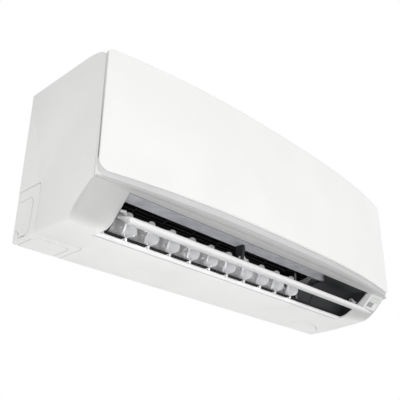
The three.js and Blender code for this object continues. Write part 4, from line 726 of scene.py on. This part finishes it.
# The display's place on the slope: along the unit, and in depth.
DISPLAY_LEFT = 347
DISPLAY_RIGHT = 396
DISPLAY_NEAR = 168
DISPLAY_FAR = 195


def brow_depth(x):
    """The line on the strip above the outlet, half way between the outlet and the bowed front."""
    return SLOPE_TOP[0] + 0.55 * (END_DEPTH + bow(x, CASING_BOW) - SLOPE_TOP[0])


def display_tool(margin, rise, sink):
    """A block round the display's place on the slope, standing out by rise and reaching in by sink."""
    run = math.hypot(SLOPE_RUN, SLOPE_RISE)
    line = []
    for depth, inward in ((DISPLAY_NEAR - margin, -rise), (DISPLAY_FAR + margin, -rise),
                          (DISPLAY_FAR + margin, sink), (DISPLAY_NEAR - margin, sink)):
        height = (depth - SLOPE_FOOT) / SLOPE_RUN * SLOPE_RISE
        line.append((depth - inward * SLOPE_RISE / run, height + inward * SLOPE_RUN / run))
    return prism_x("display_tool", line, DISPLAY_LEFT - margin, DISPLAY_RIGHT + margin)


corner_skin = copy_of(shell, "corner_cover_skin")
knock_skin = copy_of(shell, "knockout_plate_skin")

# The inlet grille on top: how many slots, from which depth on, how far apart and how wide.
GRILLE_SLOTS = 9
GRILLE_START = 22
GRILLE_PITCH = 14
GRILLE_SLOT = 9
# The gates of the cover's pins, on both sides of the middle.
GATE_AT = 372
GATE_HALF = 4.6

# Openings: the outlet, the one behind the cover, the corner's and the knock-out's, the display's, the
# filters' slots, the run button's hole, the gates and the grille.
for tool in (prism_up("outlet_tool", outlet_plan, -BEYOND, 60),
             block("front_tool", -350, 350, 150, 240, 99, 242),
             *corner_tools(0),
             prism_up("knock_tool", knock_plan(0), -BEYOND, 10),
             display_tool(0.3, 4, 10)):
    carve(shell, [tool])
carve(shell, [block("filter_tool", left, left + 337, 195.5, 201.1, 241, HEIGHT + BEYOND)
              for left in (-339.5, 2.5)])
carve(shell, [block("button_tool", 362.4, 369.6, 150, 228, 80.4, 87.6)])
carve(shell, [block("gate_tool", x - GATE_HALF, x + GATE_HALF, 193.5, 228, 251.5, HEIGHT + BEYOND)
              for x in (-GATE_AT, GATE_AT)])
slots = []
for i in range(GRILLE_SLOTS):
    back = GRILLE_START + i * GRILLE_PITCH
    for left, right in ((-352, -7), (7, 352)):
        slots.append(block("slot", left, right, back, back + GRILLE_SLOT, HEIGHT - 6, HEIGHT + BEYOND))
carve(shell, slots)
brow = [(x, brow_depth(x)) for x in range(-HALF_WIDTH, 341, 20)]
carve(shell, [prism_up("brow_tool", brow + [(x, depth + 0.9) for x, depth in brow[::-1]], 40, 50.6)])
soften(shell, 0.5, 2)
finish(shell, "wall_unit", casing_abs, ["casing"])

side_tool, foot_tool = corner_tools(0.8)
carve(corner_skin, [carve(side_tool, [foot_tool], "UNION")], "INTERSECT")

# The thin walls of the pipe knock-outs show as grooves on the corner cover, one on the side, one below.
KNOCK_GROOVE_DEPTH = 1.4
side_line = ([(-BEYOND, 67), (28, 67)] + arc((37, 58), (9, 9), 90, 0, 5)
             + [(45, 14), (34, 5.6), (15, 5.6), (15, 12), (10, 18.5), (-BEYOND, 18.5)])
foot_line = ([(-392, -BEYOND), (-392, 34)] + arc((-378, 36), (14, 14), 180, 90, 5)
             + arc((-338, 38), (12, 12), 90, 0, 5) + [(-326, -BEYOND)])
carve(corner_skin, [prism_x("knock_line", band(side_line, GROOVE), -HALF_WIDTH - BEYOND,
                            -HALF_WIDTH + KNOCK_GROOVE_DEPTH)])
carve(corner_skin, [prism_up("knock_line", band(foot_line, GROOVE), -BEYOND, KNOCK_GROOVE_DEPTH)])
soften(corner_skin, 0.35, 1)
finish(corner_skin, "wall_unit", casing_abs, ["corner_cover"])
carve(knock_skin, [prism_up("knock_tool", knock_plan(1.3), -BEYOND, 10)], "INTERSECT")
soften(knock_skin, 0.35, 1)
finish(knock_skin, "wall_unit", casing_abs, ["knockout_plate"])


# Front cover

COVER_TOP = 264
# Radii of the cover's lower and upper corners.
LOW_CORNER = 17
HIGH_CORNER = 9
# Above this height the cover's frame keeps the outline that its face has.
FRAME_EVEN = 75
# Depth and height of the pins that the cover turns on.
COVER_PIN = (199, 257)


def plate_outline(foot, top, inset, round_less):
    """The cover's outline in x and height. Ends and lower corners are drawn in by the inset."""
    half, low, high = HALF_WIDTH - inset, LOW_CORNER - inset, HIGH_CORNER - round_less
    return (arc((low - half, foot + low), (low, low), 180, 270, 8)
            + arc((half - low, foot + low), (low, low), 270, 360, 8)
            + arc((half - high, top - high), (high, high), 0, 90, 6)
            + arc((high - half, top - high), (high, high), 90, 180, 6))


def bowed_plate(name, outline, back, front):
    """A plate between two depths that change along the unit."""
    piece = prism_front(name, outline, 0, 10)
    edit(piece)
    slice_x(stations)
    mode("VERT")
    shift_by_place(lambda at: -at.y < 5, back)
    shift_by_place(lambda at: 9 < -at.y < 20, lambda x: front(x) - 10)
    leave()
    return piece


def cover_back(x):
    """Depth of the cover's back edge, a narrow gap in front of the casing."""
    return END_DEPTH + bow(x, CASING_BOW) + 0.9


def cover_front(x):
    """Depth of the cover's face."""
    return COVER_END_DEPTH + bow(x, COVER_BOW)


def cover_step(x):
    """Depth of the line between the frame and the gloss cover."""
    return cover_back(x) + 0.5 * (cover_front(x) - cover_back(x))


# The frame's back edge reaches lower than the face, so that a band shows under it, with two finger notches.
cover_frame = bowed_plate("cover_frame", plate_outline(COVER_FOOT, COVER_TOP, 0, 0), cover_back, cover_step)
edit(cover_frame)
pick(lambda part, at: height_at(at) < FRAME_EVEN + 0.1 and -at.y < cover_back(at.x) + 0.1)
bpy.ops.transform.resize(value=(1, 1, (FRAME_EVEN - FRAME_FOOT) / (FRAME_EVEN - COVER_FOOT)),
                         center_override=place(0, 0, FRAME_EVEN))
leave()
carve(cover_frame, [block("finger_tool", left, left + 5.5, 196, 203, 78, 98) for left in (-401, 395.5)])
soften(cover_frame, 0.7, 2, 50)
arms = []
for x in (-GATE_AT, GATE_AT):
    arms.append(soften(block("cover_arm", x - 4, x + 4, 196.6, cover_back(x) + 1, 254.6, 259.4), 0.8, 2))
    pin = rod("cover_pin", place(x - 12, *COVER_PIN), place(x + 12, *COVER_PIN), 2.4)
    arms.append(soften(pin, 0.4, 2, 50))
cover_frame = joined("cover_frame", [cover_frame] + arms)
# The neck's grey, sunk in the gap between the frame and the face, is painted shade.
cover_neck = bowed_plate("cover_neck", plate_outline(60, 262.6, 1.6, 1.4),
                         lambda x: cover_step(x) - 0.6, lambda x: cover_step(x) + 0.6)
cover_face = bowed_plate("cover_face", plate_outline(58.6, 263.8, 0.4, 0.2),
                         lambda x: cover_step(x) + 0.5, cover_front)
soften(cover_face, 2.6, 6, 50)
finish(cover_frame, "front_cover", frame_abs, ["front_panel"])
finish(cover_neck, "front_cover", grey_abs_and_painted_shade, ["front_panel"])
finish(cover_face, "front_cover", cover_abs, ["front_panel"])


# Flap

# Half the thickness of the flap's leading bar and of its tail, and where its ends and tapers are.
LEAD = 6.3
TAIL = 1.4
FLAP_LEFT = -330
FLAP_RIGHT = 342
LEFT_TAPER = -325
RIGHT_TAPER = 285


def on_flap(along, up):
    """A place on the flap's section, by its distance forward of the leading bar's middle and above it."""
    return leaned(FLAP_LEAD, FLAP_SLOPE, along, up)


flap_line = (arc((0, 0), (LEAD, LEAD), 90, -90, 12)
             + smooth_line([(-LEAD, -0.9 * LEAD), (-LEAD * 2, -0.62 * LEAD), (-29, -1.6), (-44, -0.2)], 3)
             + arc((TAIL - 43, TAIL), (TAIL, TAIL), -90, -270, 6)
             + smooth_line([(-40, 2.9), (-29, 2.8), (-LEAD * 2, 0.72 * LEAD), (-LEAD, 0.93 * LEAD)], 3))
flap_skin = prism_x("flap_skin", [on_flap(*point) for point in flap_line], FLAP_LEFT, FLAP_RIGHT)
edit(flap_skin)
slice_x([-328, LEFT_TAPER, -317, 250, 270, RIGHT_TAPER, 296, 305, 313, 320, 327, 333, 338])
mode("VERT")


def flap_size(x):
    """How full the leading bar is along the flap: it tapers to a point at the right."""
    if x < LEFT_TAPER:
        return 1 - 0.25 * ((LEFT_TAPER - x) / (LEFT_TAPER - FLAP_LEFT)) ** 2
    if x < RIGHT_TAPER:
        return 1
    return max(0.16, 1 - 0.84 * ((x - RIGHT_TAPER) / (FLAP_RIGHT - RIGHT_TAPER)) ** 1.6)


for x in along_unit():
    bpy.ops.transform.resize(value=(1, flap_size(x), flap_size(x)), center_override=place(x, *FLAP_LEAD))
outward()
leave()
# Its tail is cut back at the right, so that it swings past the outlet's swept end.
tail_plan = [(316, 140), (316, 163), (322, 175), (350, 175), (350, 140)]
carve(flap_skin, [prism_up("tail_tool", tail_plan, 0, 60)])
soften(flap_skin, 0.4, 2, 50)


def flap_arm(left, right, radius):
    """An arm from the flap's back up to its pivot."""
    foot = [on_flap(-34, 0.6), on_flap(-30 + radius * 2, 0.6)]
    outline = foot + arc(FLAP_PIVOT, (radius, radius), 0, 180, 8)
    return soften(prism_x("flap_arm", outline, left, right), 0.5, 2, 40)


arms = [flap_arm(-316, -313, 3.4), flap_arm(312, 316, 5.5), flap_arm(-46.9, -42.9, 5.5)]
arms += [rod("flap_pin", place(left, *FLAP_PIVOT), place(right, *FLAP_PIVOT), 2.5, 20)
         for left, right in ((-337.3, -312), (312, 334), (-52.5, -42.9))]
flap_hangers = joined("flap_hangers", arms)
finish(flap_skin, "flap_blade", flap_abs, ["flap"], 40)
finish(flap_hangers, "flap_blade", flap_abs, ["flap"])


# Vanes

def vane_matrix(x):
    """Puts a vane, modelled upright at the origin, on its foot: leaned with the floor and turned right."""
    along = Vector((0, -math.cos(VANE_TILT), -math.sin(VANE_TILT)))
    up = Vector((0, -math.sin(VANE_TILT), math.cos(VANE_TILT)))
    lean = Matrix((along, up, along.cross(up))).transposed().to_4x4()
    return Matrix.Translation(place(x, *VANE_FOOT)) @ lean @ Matrix.Rotation(VANE_TURN, 4, "Y")


def on_vane(forward, up, beside=0.0):
    """A place on the vane as it is modelled: forward of its pin, above its foot and beside its plate."""
    return Vector((forward, up, beside)) / 1000


VANES = 10
VANE_THICKNESS = 1.8
# The lug at the vane's top: its middle, its radius and how much longer than high it is.
LUG = (0.6, 33.4)
LUG_RADIUS = 4.4
LUG_LENGTH = 1.3
vane_front = smooth_line([(2.2, 0.9), (9, 1.5), (15.6, 3.6), (20, 7.8), (21.2, 12.6), (19.8, 18),
                          (16.6, 23), (10.6, 28), (4.6, 31.6), (2.1, 35)], 4)
vane_back = [(-2.6, 34.4), (-16.6, 33.6), (-18, 32.2), (-18, 27.4), (-16.8, 26.2), (-6, 25), (-2.8, 22),
             (-2.6, 1.2)]
vane_model = draw("vane_plate", [on_vane(*point, -VANE_THICKNESS / 2) for point in vane_front + vane_back])
pull(0, 0, VANE_THICKNESS)
outward()
# Both sides of its plate lie a little lower than the rim round them.
mode("FACE")
pick(lambda part, at: abs(part.normal.z) > 0.9, "faces")
bpy.ops.mesh.inset(thickness=0.0016)
bpy.ops.transform.shrink_fatten(value=-0.0005)
leave()
soften(vane_model, 0.22, 1, 40)
carve(vane_model, [rod("notch_tool", on_vane(-28.4, 30), on_vane(-5.4, 30), 1.6, 12)])
pin = rod("vane_pin", on_vane(0, -5), on_vane(0, 35), 1.9, 16)
lug = rod("vane_lug", on_vane(0, 0, -1.9), on_vane(0, 0, 1.9), LUG_RADIUS, 24)
lug.scale = (LUG_LENGTH, 1, 1)
lug.location = on_vane(*LUG)
settle(lug)
carve(lug, [rod("lug_tool", on_vane(*LUG, -3), on_vane(*LUG, 3), 1.2, 12)])
soften(lug, 0.5, 2, 50)
link_pin = rod("link_pin", on_vane(-14, 27.4), on_vane(-14, 32.6), 1.3, 12)
knuckles = [soften(rod("vane_knuckle", on_vane(0, foot), on_vane(0, foot + 3), 3.1, 20), 0.5, 2, 50)
            for foot in (1, 8.5)]
hook = soften(rod("vane_hook", on_vane(-1, 10), on_vane(-7, 12.4), 1.2, 12), 0.3, 1, 50)
vane_model = joined("vane_model", [vane_model, pin, lug, link_pin, hook] + knuckles)

vane_pitch = (GUIDE_RIGHT - VANE_LEFT) / (VANES - 0.5)
vane_places = [VANE_LEFT + i * vane_pitch for i in range(VANES)]
for i, x in enumerate(vane_places):
    name = f"vane_{i + 1:02d}"
    vane = copy_of(vane_model, name + "_plate")
    vane.matrix_world = vane_matrix(x)
    settle(vane)
    finish(vane, name + "_body", vane_pp, [name])
bpy.data.objects.remove(vane_model)


# Lip, floor, seals and painted shade of the outlet

# Half the length of the lip's rounded front edge.
LIP_NOSE = 2.6
lip_line = ([(LIP_BACK + 0.6, 1.5), (LIP_BACK + 3.4, 1.2), (LIP_BACK + 4, 0.1), (LIP_FRONT - LIP_NOSE, 0.1)]
            + arc((LIP_FRONT - LIP_NOSE, 2.3), (LIP_NOSE, 2.2), -90, 90, 10) + [(LIP_BACK + 0.6, 4.3)])
lip_strip = prism_x("outlet_lip_strip", lip_line, -338.6, LIP_RIGHT - 0.3)
soften(lip_strip, 0.3, 1, 40)
# The grey strip in the valley behind the lip's bead is painted shade on the lip's lower side.
lip_shade_strip = block("lip_painted_shade_strip", -337.5, LIP_RIGHT - 1, LIP_BACK + 0.2, LIP_BACK + 3.3, 0.5, 1.4)
finish(lip_shade_strip, "wall_unit", grey_abs_and_painted_shade)
finish(lip_strip, "wall_unit", lip_abs, ["outlet_lip"])


# The strip under the vanes is black, as painted shade of the slit behind the lip, and clips cross it at
# every vane.
base_line = [leaned(VANE_FOOT, VANE_TILT, *point)
             for point in ((-8.5, -0.3), (-8.5, -2.3), (11.6, -2.3), (12.6, -1.3), (11.8, -0.3))]
base_strip = prism_x("vane_base_strip", base_line, -331, GUIDE_RIGHT)
finish(base_strip, "wall_unit", foam_and_painted_shade, ["vane_base"])
clips = []
for x in [-333] + vane_places:
    for lean in (-5.4, 5.4):
        clips.append(rod("foot_clip", place(x - lean, 133.6, 2.6), place(x + lean, 139.4, 10.4), 0.9, 10))
clips += [soften(rod("foot_boss", place(x, 136.2, 5), place(x, 138.4, 3.9), 2.2, 20), 0.4, 2, 50)
          for x in vane_places]
finish(joined("vane_foot_clips", clips), "wall_unit", lip_abs, ["vane_base"])

floor_line = smooth_line([(119.6, 15.6), (114.5, 20.5), (111.5, 28), (110, 37), (109.4, 47)], 4)
floor_back = [(depth - 1.2, height - 0.4) for depth, height in floor_line[::-1]]
floor_skin = prism_x("duct_floor_skin", floor_line + floor_back, -333.4, GUIDE_RIGHT)
finish(floor_skin, "wall_unit", lip_abs)

# The black strip in the slit between the lip and the vanes' foot is painted shade.
lip_slit_shade = prism_x("lip_slit_painted_shade", [(127.6, 4.7), (132.4, 4.7), (136, 5.3), (127.6, 9.2)], -331.5,
                   GUIDE_RIGHT)
top_seal = block("ceiling_seal_foam", -332, 332, 191.7, 193.2, 49.3, 51.6)
# The black strip inside the outlet's left edge is a painted shadow in the gap between the casing's edge and
# the floor.
left_shadow_back = [(depth - 1.8, height + 1.9) for depth, height in slope_line[11:0:-1]]
left_edge_shadow = prism_x("outlet_edge_painted_shadow", slope_line[1:12] + left_shadow_back, -331.4, -330.6)
for black_strip in (lip_slit_shade, top_seal, left_edge_shadow):
    finish(black_strip, "wall_unit", foam_and_painted_shade)

# The dark wall right of the vanes: from the guide's end down to the lip, closed at its right end.
blank_line = smooth_line([(189.3, 50.7), (172, 51), (160, 50.6), (152, 47.6), (145, 41.8), (136, 31.3),
                          (125.6, 16.5), (124.2, 11.6), (126.6, 7.6), (131.8, 4.7)], 3)
blank_wall = prism_x("blank_wall", band(blank_line, 1.8), 140, 333.5)
blank_plan = [(150.4, 120), (150.4, 138), (160, 141), (196, 146), (214, 161.5), (196, 174), (181.5, 182),
              (181.5, 200), (345, 200), (345, 120)]
carve(blank_wall, [prism_up("blank_tool", blank_plan, 0, 60)], "INTERSECT")
carve(blank_wall, [block("seam_tool", 208.6, 211, 118, 146, 2, 42)])
end_foot = [(depth - 2.2, height + 1.8) for depth, height in slope_line[4:-1]]
blank_end = prism_x("blank_end", blank_line[2:-4] + end_foot, 331, 333.4)
carve(blank_end, [rod("pin_tool", place(326, *FLAP_PIVOT), place(340, *FLAP_PIVOT), 2.8, 24)])
blank_wall = joined("blank_wall", [blank_wall, blank_end])
finish(blank_wall, "wall_unit", charcoal_pp, ["outlet_blank"])

# The outlet's rim at its swept end: a turned-in edge of the casing's skin.
rim_ring = carve(casing_body("outlet_rim", 0.05), [casing_body("rim_hollow", 3.2)])
rim_path = [(LIP_RIGHT - 1.4, LIP_BACK + 0.5)] + [(x - 1.3, depth) for x, depth in outlet_end[::-1]]
carve(rim_ring, [prism_up("rim_tool", band(rim_path, 2.2), -BEYOND, 48.8)], "INTERSECT")
soften(rim_ring, 0.8, 3, 40)
finish(rim_ring, "wall_unit", frame_abs)


# Fan

# Depth and height of the fan's axis.
FAN_AXIS = (112, 108)
FAN_RADIUS = 46
FAN_LEFT = -332.7
FAN_RIGHT = 201
FAN_BLADES = 34
FAN_SECTIONS = 8
# Thickness of the discs between the rows of blades, their inside radius, and the turn from row to row.
DISC = 2.6
DISC_HOLE = 33
ROW_TURN = 3.7
row_pitch = (FAN_RIGHT - FAN_LEFT - DISC) / FAN_SECTIONS


def fan_rod(left, right, radius, sides):
    """A round bar on the fan's axis."""
    return rod("fan_disc", place(left, *FAN_AXIS), place(right, *FAN_AXIS), radius, sides)


# A blade's section, by distance from the axis and angle.
blade_line = [arc(FAN_AXIS, (radius, radius), turn, turn, 1)[0]
              for radius, turn in ((45.9, 0), (42.5, -4.5), (38.5, -7), (34.5, -7.5))]
fan_blades = prism_x("fan_blades", band(blade_line, 1.2), FAN_LEFT + DISC / 2,
                     FAN_LEFT + DISC / 2 + row_pitch)
edit(fan_blades)
bpy.ops.mesh.spin(steps=FAN_BLADES - 1, dupli=True,
                  angle=math.radians(360 * (FAN_BLADES - 1) / FAN_BLADES),
                  center=place(0, *FAN_AXIS), axis=(1, 0, 0))
outward()
leave()
fan_parts = [fan_blades]
for i in range(1, FAN_SECTIONS):
    row = copy_of(fan_blades, "fan_blades")
    edit(row)
    bpy.ops.transform.rotate(value=math.radians(i * ROW_TURN), orient_axis="X",
                             center_override=place(0, *FAN_AXIS))
    shift(i * row_pitch, 0, 0)
    leave()
    fan_parts.append(row)
for i in range(FAN_SECTIONS + 1):
    left = FAN_LEFT + i * row_pitch
    disc = fan_rod(left, left + DISC, FAN_RADIUS, 72)
    if 0 < i < FAN_SECTIONS:
        carve(disc, [fan_rod(left - 1, left + DISC + 1, DISC_HOLE, 72)])
    fan_parts.append(soften(disc, 0.4, 1, 50))
# A stub turns in the bearing at the left end, and the hub at the right end takes the motor's shaft.
fan_parts.append(fan_rod(-346.6, FAN_LEFT + DISC, 4, 24))
hub = carve(fan_rod(FAN_RIGHT - DISC, 214.6, 13, 40), [fan_rod(FAN_RIGHT - 8, 220, 4.3, 32)])
fan_parts.append(soften(hub, 0.5, 2, 50))
finish(joined("fan_blades", fan_parts), "fan_rotor", fan_plastic, ["fan"])


# Pieces kept from the frame

kept = {
    zinc: "mounting_plate motor_clamp tube_plate_left tube_plate_right control_cover",
    chassis_ps: "chassis",
    end_abs: "duct_end",
    silver_abs: "drain_pan",
    charcoal_pp: "flap_bracket",
    rubber: "fan_bearing",
    motor_steel: "fan_motor flap_motor vane_motor",
    shaft_steel: "motor_shaft",
    fins: "coil_front_lower coil_front_upper coil_rear",
    copper: "liquid_pipe gas_pipe",
    brass: "liquid_nut gas_nut",
    net: "filter_left filter_right",
    box_abs: "control_box",
    laminate: "control_board",
    white_pp: "terminal_block run_button",
    trim_abs: "display_bezel",
    window_pc: "display_window",
    receiver_pc: "receiver_window",
    grey_abs_and_painted_shade: "vane_link",
}
for material, names in kept.items():
    for name in names.split():
        for slot in nodes[name].material_slots:
            slot.material = material


# Camera, light and floor

# The camera was fitted to the object's corners in the photograph: its place and its three directions.
CAMERA_AT = (-0.85050, -0.83504, -0.48008)
CAMERA_RIGHT = Vector((0.69068265, -0.72306191, 0.01178778))
CAMERA_DOWN = Vector((0.31378035, 0.28496336, -0.905725))
CAMERA_FORWARD = Vector((0.65153617, 0.62926731, 0.42370187))
camera_data = bpy.data.cameras.new("camera")
camera = bpy.data.objects.new("camera", camera_data)
scene.collection.objects.link(camera)
camera_data.sensor_width = 36
camera_data.lens = 56.62
camera.matrix_world = (Matrix.Translation(CAMERA_AT)
                       @ Matrix((CAMERA_RIGHT, -CAMERA_DOWN, -CAMERA_FORWARD)).transposed().to_4x4())
scene.camera = camera
scene.view_settings.view_transform = "Standard"

deselect()
bpy.ops.mesh.primitive_plane_add(size=8, location=(0, 0, -1.4))
floor = bpy.context.active_object
floor.name = "floor"
settle(floor)
# Matt paint of the floor: pale and even, with a slow drift of tone.
floor_paint, floor_tree, floor_shader, floor_where = start_material("matt_white_floor_paint",
                                                                    {"Roughness": 0.8})
floor_cloud = add(floor_tree, "ShaderNodeTexNoise", {"Scale": 3.0}, {"Vector": floor_where})
dress(floor_tree, floor_shader, floor_cloud.outputs[0], ((0, "#E6E6E6"), (1, "#ECECEC")))
floor.data.materials.append(floor_paint)

# The room lights softly, and shows white where it is seen straight, mirrored or through glass.
world = bpy.data.worlds.new("studio")
scene.world = world
world.use_nodes = True
sky = world.node_tree
sky.nodes.clear()
rays = add(sky, "ShaderNodeLightPath")
seen = rays.outputs["Is Camera Ray"]
for way in ("Is Glossy Ray", "Is Transmission Ray"):
    seen = add(sky, "ShaderNodeMath", {"operation": "MAXIMUM"}, {0: seen, 1: rays.outputs[way]}).outputs[0]
room = add(sky, "ShaderNodeBackground", {"Color": (1, 1, 1, 1), "Strength": 0.5})
white = add(sky, "ShaderNodeBackground", {"Color": (1, 1, 1, 1), "Strength": 1.0})
both = add(sky, "ShaderNodeMixShader", None, {0: seen, 1: room.outputs[0], 2: white.outputs[0]})
add(sky, "ShaderNodeOutputWorld", None, {"Surface": both.outputs[0]})


def soft_lamp(name, at, towards, size, power):
    """A round lamp that lights the object and isn't seen itself."""
    data = bpy.data.lights.new(name, "AREA")
    data.shape = "DISK"
    data.size = size
    data.energy = power
    lamp = bpy.data.objects.new(name, data)
    scene.collection.objects.link(lamp)
    lamp.location = at
    lamp.rotation_euler = (Vector(towards) - Vector(at)).to_track_quat("-Z", "Y").to_euler()
    lamp.visible_camera = False
    lamp.visible_glossy = False
    return lamp


soft_lamp("front_lamp", (0.3, -2.3, 1.7), (0, -0.2, 0), 1.4, 15.5)
soft_lamp("low_lamp", (0.1, 0.35, -0.85), (0, -0.1, -0.1), 1.2, 3.4)
soft_lamp("left_lamp", (-2.0, 1.2, 0.2), (-0.4, -0.1, 0), 1.4, 12.5)
soft_lamp("duct_lamp", (-1.35, -1.25, -0.75), (0, -0.15, -0.1), 0.8, 7.4)
soft_lamp("level_lamp", (-0.3, -1.6, -0.95), (0, -0.15, -0.1), 0.8, 5)
soft_lamp("right_lamp", (1.7, -1.2, 0.6), (0.3, -0.2, 0), 1.0, 4.5)
vane_lamp = soft_lamp("vane_lamp", (-0.09, -0.376, -0.298), (-0.09, -0.112, -0.1), 0.5, 0.018)
vane_lamp.data.shape = "RECTANGLE"
vane_lamp.data.size_y = 0.02
vane_lamp.data.spread = math.radians(12)
soft_lamp("back_lamp", (0.2, 2.4, 1.4), (0, 0, 0), 1.6, 10)
